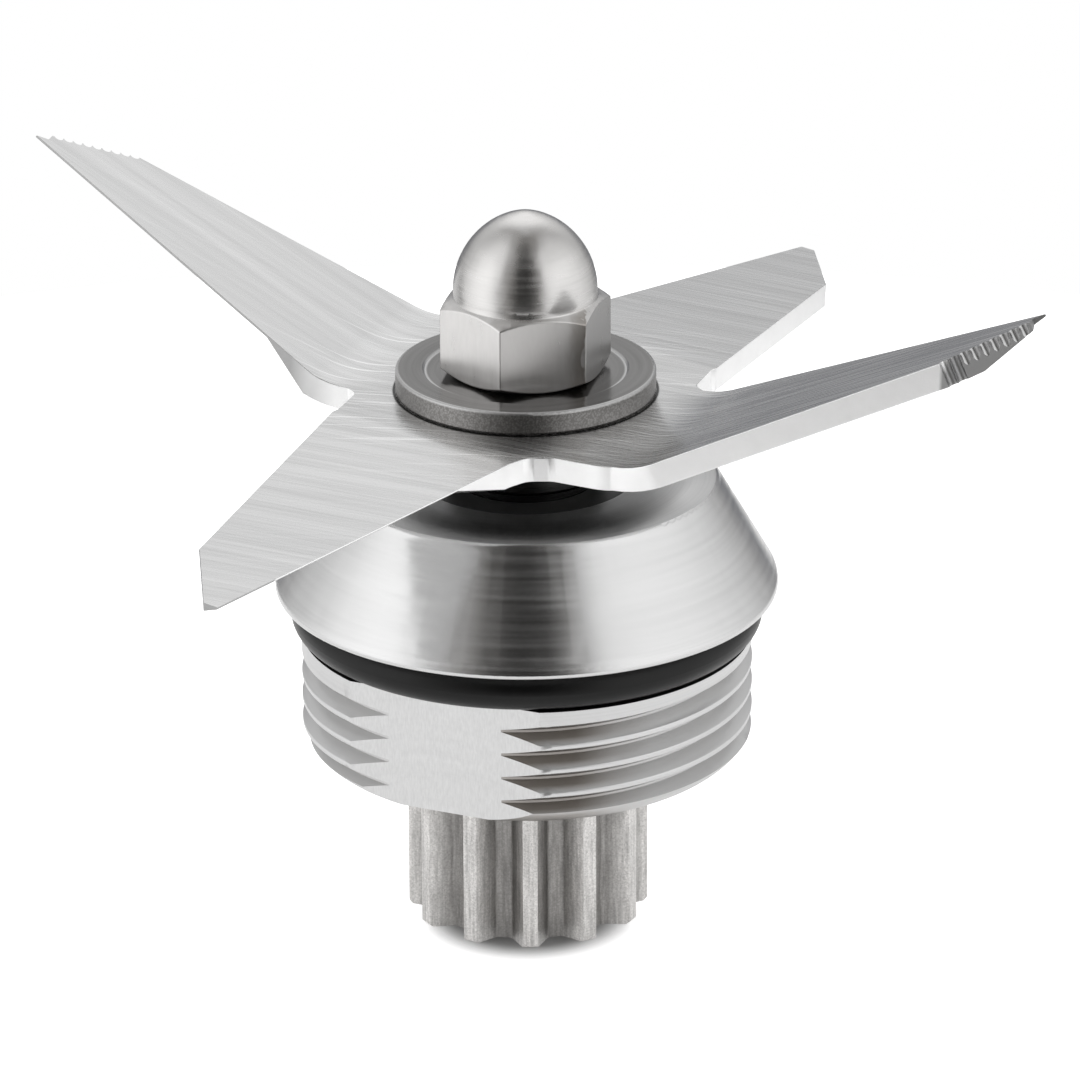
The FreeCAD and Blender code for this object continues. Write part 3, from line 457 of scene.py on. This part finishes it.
def leaned_normal(tree, towards, amount, ends_out):
    """Leans the surface normal towards an object direction, and sends it out of the group."""
    unit = add_node(tree, "ShaderNodeVectorMath", operation="NORMALIZE")
    if isinstance(towards, tuple):
        unit.inputs[0].default_value = towards
    else:
        wire(tree, towards, unit.inputs[0])
    push = add_node(tree, "ShaderNodeVectorMath", operation="SCALE")
    wire(tree, unit.outputs[0], push.inputs[0])
    wire(tree, amount, push.inputs["Scale"])
    to_world = add_node(tree, "ShaderNodeVectorTransform", vector_type="VECTOR",
                        convert_from="OBJECT", convert_to="WORLD")
    wire(tree, push.outputs[0], to_world.inputs[0])
    leaned = add_node(tree, "ShaderNodeVectorMath", operation="ADD")
    wire(tree, add_node(tree, "ShaderNodeNewGeometry").outputs["Normal"], leaned.inputs[0])
    wire(tree, to_world.outputs[0], leaned.inputs[1])
    whole = add_node(tree, "ShaderNodeVectorMath", operation="NORMALIZE")
    wire(tree, leaned.outputs[0], whole.inputs[0])
    wire(tree, whole.outputs[0], ends_out.inputs["Normal"])


soft_bend, ends_in, ends_out = new_group("soft_bend", [("Vector", VECTOR, None)],
                                         [("Normal", VECTOR)])
reach = dot_product(soft_bend, ends_in.outputs["Vector"], BEND_DIRECTION)
aside = dot_product(soft_bend, ends_in.outputs["Vector"], BEND_SIDE)
side = math_node(soft_bend, "SIGN", reach)
far = math_node(soft_bend, "DIVIDE", math_node(soft_bend, "ABSOLUTE", reach), 0.02)
lean = ramp_node(soft_bend, far, [(mm / 20, value) for mm, value in LEAN_STOPS], "LINEAR")
inside = add_node(soft_bend, "ShaderNodeMapRange", interpolation_type="SMOOTHSTEP")
for label, value in zip(("From Min", "From Max", "To Min", "To Max"), (*LEAN_SIDE, 1.0, 0.0)):
    inside.inputs[label].default_value = value
wire(soft_bend, math_node(soft_bend, "MULTIPLY", aside, side), inside.inputs["Value"])
amount = math_node(soft_bend, "MULTIPLY", math_node(soft_bend, "MULTIPLY", lean, side),
                   inside.outputs[0])
leaned_normal(soft_bend, tuple(-x for x in BEND_DIRECTION), amount, ends_out)
print("soft bend group nodes:", len(soft_bend.nodes))

# %% [markdown]
# The housing's top meets its cone in the same way: the polishing wheel rounds the shoulder over
# several millimetres. This group leans the normal outwards towards the rim of the flat top.

# %% Soft shoulder group
SHOULDER_STOPS = [(10.5, 0.0), (13.5, 0.28), (15.6, 0.56), (16.0, 0.45), (16.4, 0.0)]

soft_shoulder, ends_in, ends_out = new_group(
    "soft_shoulder", [("Vector", VECTOR, None), ("Amount", FLOAT, 1.0)], [("Normal", VECTOR)])
outwards = add_node(soft_shoulder, "ShaderNodeVectorMath", operation="MULTIPLY")
wire(soft_shoulder, ends_in.outputs["Vector"], outwards.inputs[0])
outwards.inputs[1].default_value = (1, 1, 0)
distance = add_node(soft_shoulder, "ShaderNodeVectorMath", operation="LENGTH")
wire(soft_shoulder, outwards.outputs[0], distance.inputs[0])
lean = ramp_node(soft_shoulder, math_node(soft_shoulder, "DIVIDE", distance.outputs["Value"], 0.02),
                 [(mm / 20, value) for mm, value in SHOULDER_STOPS], "LINEAR")
amount = math_node(soft_shoulder, "MULTIPLY", lean, ends_in.outputs["Amount"])
leaned_normal(soft_shoulder, outwards.outputs[0], amount, ends_out)
print("soft shoulder group nodes:", len(soft_shoulder.nodes))

# %% Soft rim group: the flange's edge is a little rounder than its straight wall
RIM_STOPS = [(29.30, 0.0), (29.55, 0.17), (30.20, 0.17), (30.90, 0.0)]
RIM_RADIUS = (0.0209, 0.0211)

soft_rim, ends_in, ends_out = new_group(
    "soft_rim", [("Radius", FLOAT, 0.0), ("Height", FLOAT, 0.0)],
    [("Normal", VECTOR)])
lean = ramp_node(soft_rim, math_node(soft_rim, "DIVIDE", ends_in.outputs["Height"], 0.04),
                 [(mm / 40, value) for mm, value in RIM_STOPS], "LINEAR")
outer = add_node(soft_rim, "ShaderNodeMapRange")
for label, value in zip(("From Min", "From Max"), RIM_RADIUS):
    outer.inputs[label].default_value = value
wire(soft_rim, ends_in.outputs["Radius"], outer.inputs["Value"])
leaned_normal(soft_rim, (0, 0, 1), math_node(soft_rim, "MULTIPLY", lean, outer.outputs[0]),
              ends_out)
print("soft rim group nodes:", len(soft_rim.nodes))

# %% [markdown]
# ## Materials
#
# Each metal is one Principled shader. What is the same all over a piece, such as how metallic
# or how anisotropic it is, sits on the shader's own sockets. What changes over the surface,
# colour, roughness and the fine relief, comes from the groups above.

# %% Helpers for metals
def start_material(name, metallic=1.0, roughness=0.3):
    """Material with an empty tree, its shader and an object coordinate socket."""
    material = bpy.data.materials.new(name)
    material.use_nodes = True
    tree = material.node_tree
    tree.nodes.clear()
    shader = add_node(tree, "ShaderNodeBsdfPrincipled")
    shader.inputs["Metallic"].default_value = metallic
    shader.inputs["Roughness"].default_value = roughness
    output = add_node(tree, "ShaderNodeOutputMaterial")
    wire(tree, shader.outputs[0], output.inputs["Surface"])
    place = add_node(tree, "ShaderNodeTexCoord").outputs["Object"]
    return material, tree, shader, place


def turned_place(tree, place, degrees):
    """Object coordinates turned about Z, so that X runs along the grain."""
    mapping = add_node(tree, "ShaderNodeMapping", vector_type="POINT")
    mapping.inputs["Rotation"].default_value = (0, 0, math.radians(-degrees))
    wire(tree, place, mapping.inputs["Vector"])
    return mapping.outputs[0]


def relief(tree, shader, height, strength, distance):
    """Bump from a height socket into the shader's normal."""
    bump = add_node(tree, "ShaderNodeBump")
    bump.inputs["Strength"].default_value = strength
    bump.inputs["Distance"].default_value = distance
    wire(tree, height, bump.inputs["Height"])
    wire(tree, bump.outputs[0], shader.inputs["Normal"])
    return bump


def spread(tree, factor, low, high, start=0.0, end=1.0):
    """Maps a socket from one range onto another."""
    node = add_node(tree, "ShaderNodeMapRange")
    for label, value in (("From Min", start), ("From Max", end), ("To Min", low),
                         ("To Max", high)):
        node.inputs[label].default_value = value
    wire(tree, factor, node.inputs["Value"])
    return node.outputs[0]


def shape_of(tree, place):
    """Shape masks at this point."""
    masks = place_group(tree, shape_masks)
    wire(tree, place, masks.inputs["Vector"])
    flat = add_node(tree, "ShaderNodeTexCoord").outputs["Normal"]
    wire(tree, flat, masks.inputs["Normal"])
    found = {label: masks.outputs[label] for label in ("Radius", "Height", "Wall")}
    found["Normal"] = flat
    return found


def grey(value, warmth=0.0):
    """A grey with its blue lowered by some warmth."""
    return (value, value * (1 - warmth / 2), value * (1 - warmth))


print("material helpers ready")

# %% Turned steel
def turned_base(tree, place, tones, ring_scale):
    """Colour and fine marks of turned steel; the marks are streaks that run round the axis."""
    marks = place_group(tree, turning, Ring_scale=ring_scale)
    wire(tree, place, marks.inputs["Vector"])
    streak = math_node(tree, "ADD",
                       math_node(tree, "MULTIPLY", marks.outputs["Fine"], 0.6),
                       math_node(tree, "MULTIPLY", marks.outputs["Coarse"], 0.4))
    tone = mix_colour(tree, spread(tree, streak, 0.0, 1.0, 0.32, 0.68), *tones)
    return tone, marks.outputs["Fine"]


def lay_round(tree, shader, anisotropic):
    """Stretches highlights the way circular tool marks do."""
    shader.inputs["Anisotropic"].default_value = anisotropic
    tangent = add_node(tree, "ShaderNodeTangent", direction_type="RADIAL", axis="Z")
    wire(tree, tangent.outputs[0], shader.inputs["Tangent"])


def turned_steel(name, tones, roughness, anisotropic, ring_scale, bump):
    material, tree, shader, place = start_material(name)
    tone, fine = turned_base(tree, place, tones, ring_scale)
    wire(tree, tone, shader.inputs["Base Color"])
    wire(tree, spread(tree, fine, roughness - 0.06, roughness + 0.06, 0.25, 0.75),
         shader.inputs["Roughness"])
    lay_round(tree, shader, anisotropic)
    relief(tree, shader, fine, bump, 0.00002)
    return material


finishes = {}
finishes["shaft_steel"] = turned_steel(
    "shaft_ground_steel", (grey(0.52), grey(0.60)), 0.22, 0.4, 6000.0, 0.15)
# The collar is painted near black as painted shade: it stands for the shade under the blade.
finishes["collar_steel"] = turned_steel(
    "collar_steel_painted_shade", (grey(0.03), grey(0.06)), 0.30, 0.3, 5000.0, 0.2)
finishes["bearing_steel"] = turned_steel(
    "bearing_steel", (grey(0.60), grey(0.66)), 0.14, 0.3, 8000.0, 0.08)
finishes["spring_steel"] = turned_steel(
    "spring_steel", (grey(0.24), grey(0.30)), 0.36, 0.2, 5000.0, 0.2)
finishes["cage_brass"] = turned_steel(
    "cage_brass", ((0.70, 0.48, 0.20), (0.80, 0.58, 0.27)), 0.28, 0.3, 6000.0, 0.15)
print("turned finishes:", sorted(finishes))

# %% [markdown]
# The housing has two faces. The cone was turned with a fine feed and then polished, so it shows
# the room almost like a mirror. The thread below the flange is as the tool left it: satin, with
# painted shade darkening its roots, most across the middle and fading to either side, and the
# two key flats carry the fine upright weave of a milling cutter. All belong to one piece, so one
# material holds them and masks choose.

# %% Housing finish
THREADED_BELOW = (0.0262, 0.0290)
THREAD_ROOT = (0.0184, 0.0190)
KEY_FLAT_NORMAL = (math.sin(math.radians(-23.8)), -math.cos(math.radians(-23.8)), 0)
ROOT_SHADE_STOPS = [(0.22, 0.10), (0.42, 0.90), (0.60, 0.90), (0.68, 0.35), (0.76, 0.10)]

material, tree, shader, place = start_material("housing_turned_steel")
masks = shape_of(tree, place)
polished, fine = turned_base(tree, place, (grey(0.61), grey(0.67)), 5200.0)
threaded, tool_marks = turned_base(tree, place, (grey(0.60), grey(0.70)), 4200.0)
# Painted shade: the thread's roots are darkened, most across the middle.
sideways = math_node(tree, "ADD", dot_product(tree, place, (25, 0, 0)), 0.5)
root_shade_spread = ramp_node(tree, sideways, ROOT_SHADE_STOPS, "LINEAR")
painted_root_shade = math_node(tree, "MULTIPLY", spread(tree, masks["Radius"], 1.0, 0.0, *THREAD_ROOT), root_shade_spread)
threaded = mix_colour(tree, painted_root_shade, threaded, grey(0.33, 0.13))
faced = dot_product(tree, masks["Normal"], KEY_FLAT_NORMAL)
milled = ramp_node(tree, math_node(tree, "ABSOLUTE", faced), [(0.990, 0.0), (0.997, 1.0)])
stretch = add_node(tree, "ShaderNodeMapping")
stretch.inputs["Scale"].default_value = (7000, 7000, 1600)
wire(tree, place, stretch.inputs["Vector"])
weave = noise_node(tree, stretch.outputs[0], 1.0, detail=2.0)
mill_tone = mix_colour(tree, spread(tree, weave, 0.0, 1.0, 0.3, 0.7), grey(0.64), grey(0.71))
threaded = mix_colour(tree, milled, threaded, mill_tone)
upper = spread(tree, masks["Height"], 0.0, 1.0, *THREADED_BELOW)
wire(tree, mix_colour(tree, upper, threaded, polished), shader.inputs["Base Color"])
satin = place_group(tree, grain, Scale=6500.0)
wire(tree, place, satin.inputs["Vector"])
rough = mix_colour(tree, upper, spread(tree, tool_marks, 0.30, 0.44, 0.25, 0.75),
                   spread(tree, fine, 0.16, 0.27, 0.25, 0.75))
facing_up = ramp_node(tree, dot_product(tree, masks["Normal"], (0, 0, 1)),
                      [(0.90, 0.0), (0.98, 1.0)])
wire(tree, mix_colour(tree, facing_up, rough, 0.36), shader.inputs["Roughness"])
lay_round(tree, shader, 0.5)
skin_height = math_node(tree, "ADD", satin.outputs["Height"],
                        mix_colour(tree, milled, tool_marks, math_node(tree, "MULTIPLY", weave, 0.4)))
bump = relief(tree, shader, mix_colour(tree, upper, skin_height, fine), 0.22, 0.00002)
shoulder = place_group(tree, soft_shoulder)
wire(tree, place, shoulder.inputs["Vector"])
on_top = spread(tree, masks["Height"], 0.0, 1.0, 0.0345, 0.0375)
wire(tree, on_top, shoulder.inputs["Amount"])
rim = place_group(tree, soft_rim)
wire(tree, masks["Radius"], rim.inputs["Radius"])
wire(tree, masks["Height"], rim.inputs["Height"])
softened = add_node(tree, "ShaderNodeMix", data_type="VECTOR")
for label, source in (("Factor", on_top), ("A", rim.outputs["Normal"]),
                      ("B", shoulder.outputs["Normal"])):
    wire(tree, source, softened.inputs[label])
wire(tree, softened.outputs["Result"], bump.inputs["Normal"])
finishes["housing_steel"] = material
print("housing finish ready")

# %% [markdown]
# The nut was made from drawn hexagon bar. Its dome is turned and polished, its flats keep the
# faintly streaked skin of the bar, with a brown darkening on the front flat towards one corner.
# The flat that faces right is painted darker, as painted shade.

# %% Nut finish
HEXAGON_BELOW = (0.0548, 0.0554)
SHADED_FACE = (math.sin(math.radians(73)), -math.cos(math.radians(73)), 0)

material, tree, shader, place = start_material("nut_polished_steel")
masks = shape_of(tree, place)
domed, fine = turned_base(tree, place, (grey(0.58, 0.03), grey(0.65, 0.03)), 5600.0)
stretch = add_node(tree, "ShaderNodeMapping")
stretch.inputs["Scale"].default_value = (1500, 1500, 420)
wire(tree, place, stretch.inputs["Vector"])
cloud = noise_node(tree, stretch.outputs[0], 1.0, detail=2.0)
drawn = mix_colour(tree, spread(tree, cloud, 0.0, 1.0, 0.3, 0.7), grey(0.64, 0.03),
                   grey(0.71, 0.03))
# A brown darkening on the front flat towards one corner.
along_face = dot_product(tree, place, (1, 0, 0))
uneven = math_node(tree, "ADD", math_node(tree, "MULTIPLY", along_face, 1000.0),
                   math_node(tree, "MULTIPLY", cloud, 1.6))
brown_corner_patch = ramp_node(tree, math_node(tree, "DIVIDE", uneven, 10.0),
                 [(0.40, 0.0), (0.53, 0.62), (0.56, 0.75), (0.575, 0.0)])
near_side = ramp_node(tree, dot_product(tree, place, (0, -500, 0)), [(0.0, 0.0), (1.0, 1.0)])
brown_corner_patch = math_node(tree, "MULTIPLY", brown_corner_patch, near_side)
drawn = mix_colour(tree, brown_corner_patch, drawn, grey(0.27, 0.20))
# Painted shade: the flat that faces right is darkened.
painted_side_shade = ramp_node(tree, dot_product(tree, masks["Normal"], SHADED_FACE),
                      [(0.90, 0.0), (0.97, 1.0)])
drawn = mix_colour(tree, math_node(tree, "MULTIPLY", painted_side_shade, 0.75), drawn, grey(0.34, 0.02))
upper = spread(tree, masks["Height"], 0.0, 1.0, *HEXAGON_BELOW)
wire(tree, mix_colour(tree, upper, drawn, domed), shader.inputs["Base Color"])
rough = mix_colour(tree, upper, spread(tree, cloud, 0.27, 0.34, 0.3, 0.7),
                   spread(tree, fine, 0.19, 0.29, 0.25, 0.75))
wire(tree, rough, shader.inputs["Roughness"])
lay_round(tree, shader, 0.4)
relief(tree, shader, mix_colour(tree, upper, 0.5, fine), 0.11, 0.00002)
finishes["nut_steel"] = material
print("nut finish ready")

# %% [markdown]
# The blade was stamped from sheet that had been ground on a belt, so the grain runs straight
# over all four wings, at one angle to the hub, and a second, weaker set of scratches crosses
# it, mostly round the hub. The stamped edges never saw the belt: they are matt and almost
# white, but grey where the notches were ground. The back wall of each raised wing is darker
# grey, as painted shade. The middle's underside is painted dark, as painted shade, and a
# painted dark line stands for the contact shadow and the washer's reflection where the washer ends.

# %% Blade finish
GRAIN_AZIMUTH = -29.0
CROSS_ANGLE = 19.0
NOTCHED_BEYOND = (0.0419, 0.0422)

material, tree, shader, place = start_material("blade_ground_steel")
masks = shape_of(tree, place)
marks = place_group(tree, brushing, Length_scale=70.0, Width_scale=3800.0)
wire(tree, turned_place(tree, place, GRAIN_AZIMUTH), marks.inputs["Vector"])
crossed = place_group(tree, brushing, Length_scale=60.0, Width_scale=2600.0)
wire(tree, turned_place(tree, place, GRAIN_AZIMUTH + CROSS_ANGLE), crossed.inputs["Vector"])
near_hub = spread(tree, masks["Radius"], 1.0, 0.12, 0.015, 0.022)
stray = math_node(tree, "MULTIPLY",
                  spread(tree, crossed.outputs["Fine"], 0.0, 1.0, 0.56, 0.70), near_hub)
streak = math_node(tree, "ADD", math_node(tree, "MULTIPLY", marks.outputs["Fine"], 0.42),
                   math_node(tree, "MULTIPLY", marks.outputs["Coarse"], 0.58))
tone = mix_colour(tree, spread(tree, streak, 0.0, 1.0, 0.31, 0.69), grey(0.55), grey(0.70))
tone = mix_colour(tree, stray, tone, grey(0.82))
# Painted shade: the underside round the hub is darkened.
painted_underside_shade = math_node(tree, "MULTIPLY", spread(tree, masks["Radius"], 1.0, 0.0, 0.0085, 0.0145),
                      ramp_node(tree, dot_product(tree, masks["Normal"], (0, 0, -1)),
                                [(0.90, 0.0), (0.96, 1.0)]))
tone = mix_colour(tree, painted_underside_shade, tone, grey(0.10))
# Painted shadow: a dark line where the washer sits, for its contact shadow and reflection.
painted_washer_shadow = ramp_node(tree, math_node(tree, "DIVIDE", masks["Radius"], 0.02),
                     [(0.5425, 0.0), (0.5445, 1.0), (0.5545, 1.0), (0.5600, 0.0)])
tone = mix_colour(tree, painted_washer_shadow, tone, grey(0.02))
sheared = place_group(tree, grain, Scale=6500.0)
wire(tree, place, sheared.inputs["Vector"])
edge_tone = mix_colour(tree, sheared.outputs["Blotches"], grey(0.91), grey(1.0))
notched = math_node(tree, "MULTIPLY",
                    spread(tree, masks["Radius"], 0.0, 1.0, *NOTCHED_BEYOND), 0.85)
edge_tone = mix_colour(tree, notched, edge_tone, grey(0.30))
# Painted shade: the back wall of each raised wing is greyer.
turned_side = math_node(tree, "MULTIPLY", dot_product(tree, masks["Normal"], BEND_SIDE),
                        math_node(tree, "SIGN", dot_product(tree, place, BEND_DIRECTION)))
painted_back_wall_shade = math_node(tree, "MULTIPLY", ramp_node(tree, turned_side, [(0.55, 0.0), (0.80, 1.0)]),
                     spread(tree, masks["Radius"], 0.0, 1.0, 0.016, 0.020))
edge_tone = mix_colour(tree, painted_back_wall_shade, edge_tone, grey(0.38))
wire(tree, mix_colour(tree, masks["Wall"], tone, edge_tone), shader.inputs["Base Color"])
belt_gloss = spread(tree, marks.outputs["Fine"], 0.18, 0.36, 0.25, 0.75)
wire(tree, mix_colour(tree, masks["Wall"], belt_gloss, 0.46), shader.inputs["Roughness"])
belt_height = math_node(tree, "SUBTRACT", marks.outputs["Fine"],
                        math_node(tree, "MULTIPLY", stray, 0.8))
bump = relief(tree, shader,
              mix_colour(tree, masks["Wall"], belt_height, sheared.outputs["Height"]),
              0.25, 0.00002)
curve = place_group(tree, soft_bend)
wire(tree, place, curve.inputs["Vector"])
wire(tree, curve.outputs["Normal"], bump.inputs["Normal"])
finishes["blade_steel"] = material
print("blade finish ready")

# %% [markdown]
# The spline is pressed from powder and sintered. Its skin is a close mottle of light and dark
# grains, drawn into faint upright streaks where it left the die. The teeth's tips are rubbed
# bright, and painted shade darkens the gullets.

# %% Spline finish
TOOTH_DEPTH = (0.0082, 0.0101)

material, tree, shader, place = start_material("spline_sintered_steel")
masks = shape_of(tree, place)
skin = place_group(tree, grain, Scale=4400.0)
wire(tree, place, skin.inputs["Vector"])
# Tips worn brighter; the gullets' darker grey is painted shade.
wear_and_painted_light = spread(tree, masks["Radius"], 0.0, 1.0, *TOOTH_DEPTH)
tone = mix_colour(tree, wear_and_painted_light, grey(0.30, 0.06), grey(0.68, 0.04))
drawn_down = add_node(tree, "ShaderNodeMapping")
drawn_down.inputs["Scale"].default_value = (3200, 3200, 260)
wire(tree, place, drawn_down.inputs["Vector"])
streaks = noise_node(tree, drawn_down.outputs[0], 1.0, detail=2.0)
tone = mix_colour(tree, 1.0, tone, spread(tree, streaks, 0.78, 1.20, 0.3, 0.7), "MULTIPLY")
mottle = spread(tree, skin.outputs["Height"], 0.91, 1.11, -0.15, 0.35)
tone = mix_colour(tree, 1.0, tone, mottle, "MULTIPLY")
tone = mix_colour(tree, math_node(tree, "MULTIPLY", skin.outputs["Pits"], 0.22), tone,
                  grey(0.18, 0.1))
wire(tree, tone, shader.inputs["Base Color"])
wire(tree, spread(tree, skin.outputs["Blotches"], 0.34, 0.48, 0.3, 0.7),
     shader.inputs["Roughness"])
relief(tree, shader, skin.outputs["Height"], 0.32, 0.00005)
finishes["spline_steel"] = material
print("spline finish ready")

# %% [markdown]
# The washer is turned and tumbled: its faces are smooth enough to mirror the nut, while its rim
# has the bright specks that tumbling stones leave. A painted highlight brightens the edge of the
# shallow step in its face, and another the top edge of the rim.

# %% Washer finish
material, tree, shader, place = start_material("washer_tumbled_steel")
masks = shape_of(tree, place)
faced, fine = turned_base(tree, place, (grey(0.15, 0.04), grey(0.22, 0.03)), 3600.0)
# Painted highlight: a bright ring at the edge of the face's shallow step.
painted_step_highlight = ramp_node(tree, math_node(tree, "DIVIDE", masks["Radius"], 0.02),
                      [(0.4120, 0.0), (0.4160, 1.0), (0.4270, 1.0), (0.4320, 0.0)])
faced = mix_colour(tree, math_node(tree, "MULTIPLY", painted_step_highlight, 0.8), faced, grey(0.60))
skin = place_group(tree, grain, Scale=5600.0)
wire(tree, place, skin.inputs["Vector"])
speckle = mix_colour(tree, spread(tree, skin.outputs["Height"], 0.0, 1.0, -0.12, 0.34),
                     grey(0.25, 0.06), grey(0.42, 0.04))
# Painted highlight: the rim's top edge is lighter.
wear_and_painted_light = spread(tree, masks["Height"], 0.0, 0.8, 0.0484, 0.0486)
speckle = mix_colour(tree, wear_and_painted_light, speckle, grey(0.55))
rim = spread(tree, masks["Radius"], 0.0, 1.0, 0.01058, 0.01076)
wire(tree, mix_colour(tree, rim, faced, speckle), shader.inputs["Base Color"])
wire(tree, mix_colour(tree, rim, spread(tree, fine, 0.13, 0.25, 0.25, 0.75), 0.34),
     shader.inputs["Roughness"])
lay_round(tree, shader, 0.3)
relief(tree, shader, mix_colour(tree, rim, fine, skin.outputs["Height"]), 0.25, 0.00004)
finishes["washer_steel"] = material
print("washer finish ready")

# %% [markdown]
# Black rubber is hardly lit by itself. What shows is a soft sheen along the ring. The seal's lip
# higher up is painted a little greyer than the ring, as painted light.

# %% Rubber
SEAL_ABOVE = (0.031, 0.034)

material, tree, shader, place = start_material("black_rubber", metallic=0.0, roughness=0.4)
skin = place_group(tree, grain, Scale=1500.0)
wire(tree, place, skin.inputs["Vector"])
masks = shape_of(tree, place)
black = mix_colour(tree, skin.outputs["Blotches"], grey(0.001), grey(0.003))
# Painted light: the rubber above the ring's height is greyer.
painted_lightening_above = spread(tree, masks["Height"], 0.0, 1.0, *SEAL_ABOVE)
wire(tree, mix_colour(tree, painted_lightening_above, black, grey(0.05)), shader.inputs["Base Color"])
wire(tree, spread(tree, skin.outputs["Blotches"], 0.30, 0.42, 0.3, 0.7),
     shader.inputs["Roughness"])
shader.inputs["Specular IOR Level"].default_value = 0.28
relief(tree, shader, skin.outputs["Height"], 0.10, 0.00003)
finishes["rubber"] = material
print("rubber ready")

# %% [markdown]
# ## Dressing the CAD nodes
#
# Each node keeps its shape from the CAD and gets the finish of its material slot. The nodes
# already have one slot each, so the new material simply takes that place.

# %% Assign the finishes
slot_of = {}
for entry in frame["record"]["materials"]:
    for member in entry.get("nodes", []):
        slot_of[member] = entry["slot"]
for name, node in nodes.items():
    slot_name = slot_of.get(name) or node.material_slots[0].material.name
    node.material_slots[0].material = finishes[slot_name]
print("dressed", len(nodes), "nodes")

# %% [markdown]
# ## Broken edges
#
# No machined piece has a perfectly sharp corner. The tiny flat or round that a file or a
# tumbling drum leaves catches the light as a thin line, and without it steel looks drawn
# instead of made. A bevel on every edge would do it, but the thread runs out to nothing at the
# flats, where a bevel would fold over itself. So each piece is a merged copy of its node, and
# only chosen edges are broken.

# %% Helpers for pieces made from a node
SHARP = math.radians(28)
CREASE = math.radians(12)


def merged_copy(name):
    """Bmesh of a node with its loose triangles joined and its flat faces made whole."""
    mesh = bmesh.new()
    mesh.from_mesh(nodes[name].data)
    bmesh.ops.remove_doubles(mesh, verts=mesh.verts, dist=1e-6)
    bmesh.ops.dissolve_limit(mesh, angle_limit=math.radians(0.4), verts=mesh.verts,
                             edges=mesh.edges, use_dissolve_boundaries=False)
    return mesh


def fold_of(edge):
    return edge.calc_face_angle(0) if len(edge.link_faces) == 2 else 0.0


def clear_the_way(mesh, chosen, reach):
    """Welds loose points onto the chosen edges where a bevel of that reach would cross them."""
    on_edge = {vert for edge in chosen for vert in edge.verts}
    close = {}
    for edge in mesh.edges:
        for kept, loose in (edge.verts, reversed(edge.verts)):
            if kept in on_edge and loose not in on_edge and edge.calc_length() < reach:
                close[loose] = kept
    bmesh.ops.weld_verts(mesh, targetmap=close)


def break_edges(mesh, width, chosen):
    """Bevels the chosen edges, and keeps every other fold in the surface as a crease."""
    picked = set(chosen)
    for edge in mesh.edges:
        edge.smooth = edge in picked or fold_of(edge) < CREASE
    bmesh.ops.bevel(mesh, geom=chosen, offset=width, offset_type="OFFSET", affect="EDGES",
                    segments=2, profile=0.5, clamp_overlap=False, material=-1)


def make_piece(mesh, name, node_name, finish, body):
    """Turns a bmesh into a piece that stands for a node and rides on its body."""
    data = bpy.data.meshes.new(name)
    mesh.to_mesh(data)
    mesh.free()
    data.polygons.foreach_set("use_smooth", [True] * len(data.polygons))
    piece = bpy.data.objects.new(name, data)
    scene.collection.objects.link(piece)
    even = piece.modifiers.new("even_normals", "WEIGHTED_NORMAL")
    even.keep_sharp = True
    data.materials.append(finishes[finish])
    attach(piece, body)
    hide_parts(node_name)
    print(name, "faces", len(data.polygons))
    return piece


print("piece helpers ready")

# %% Blade, nut and spline with their edges broken, but not between the blade's fine notches
EDGE_BREAKS = {
    "blade": ("ground_blade", 0.09 * MM, "blade_steel"),
    "acorn_nut": ("cap_nut", 0.10 * MM, "nut_steel"),
    "drive_spline": ("toothed_coupling", 0.08 * MM, "spline_steel"),
    "blade_spacer": ("blade_collar", 0.08 * MM, "collar_steel"),
}
SMOOTH_WITHIN = 41.7 * MM
for node_name, (piece_name, width, finish) in EDGE_BREAKS.items():
    mesh = merged_copy(node_name)
    sharp = [edge for edge in mesh.edges if fold_of(edge) > SHARP
             and any(v.co.xy.length < SMOOTH_WITHIN for v in edge.verts)]
    clear_the_way(mesh, sharp, 2 * width)
    break_edges(mesh, width, sharp)
    make_piece(mesh, piece_name, node_name, finish, "rotor")

# %% Housing, broken along the crests of its thread only
CREST_RADIUS = 19.0 * MM
THREAD_TOP = 25.38 * MM
FLAT_AZIMUTHS = (-23.8, 156.2)
FLAT_HALF_ANGLE = 28.5


def clear_of_flats(point):
    azimuth = math.degrees(math.atan2(point.x, -point.y))
    return all(abs((azimuth - flat + 180) % 360 - 180) > FLAT_HALF_ANGLE
               for flat in FLAT_AZIMUTHS)


mesh = merged_copy("housing")
crests = [edge for edge in mesh.edges if fold_of(edge) > SHARP
          and all(v.co.xy.length > CREST_RADIUS and v.co.z < THREAD_TOP
                  and clear_of_flats(v.co) for v in edge.verts)]
break_edges(mesh, 0.07 * MM, crests)
make_piece(mesh, "turned_housing", "housing", "housing_steel", "housing")
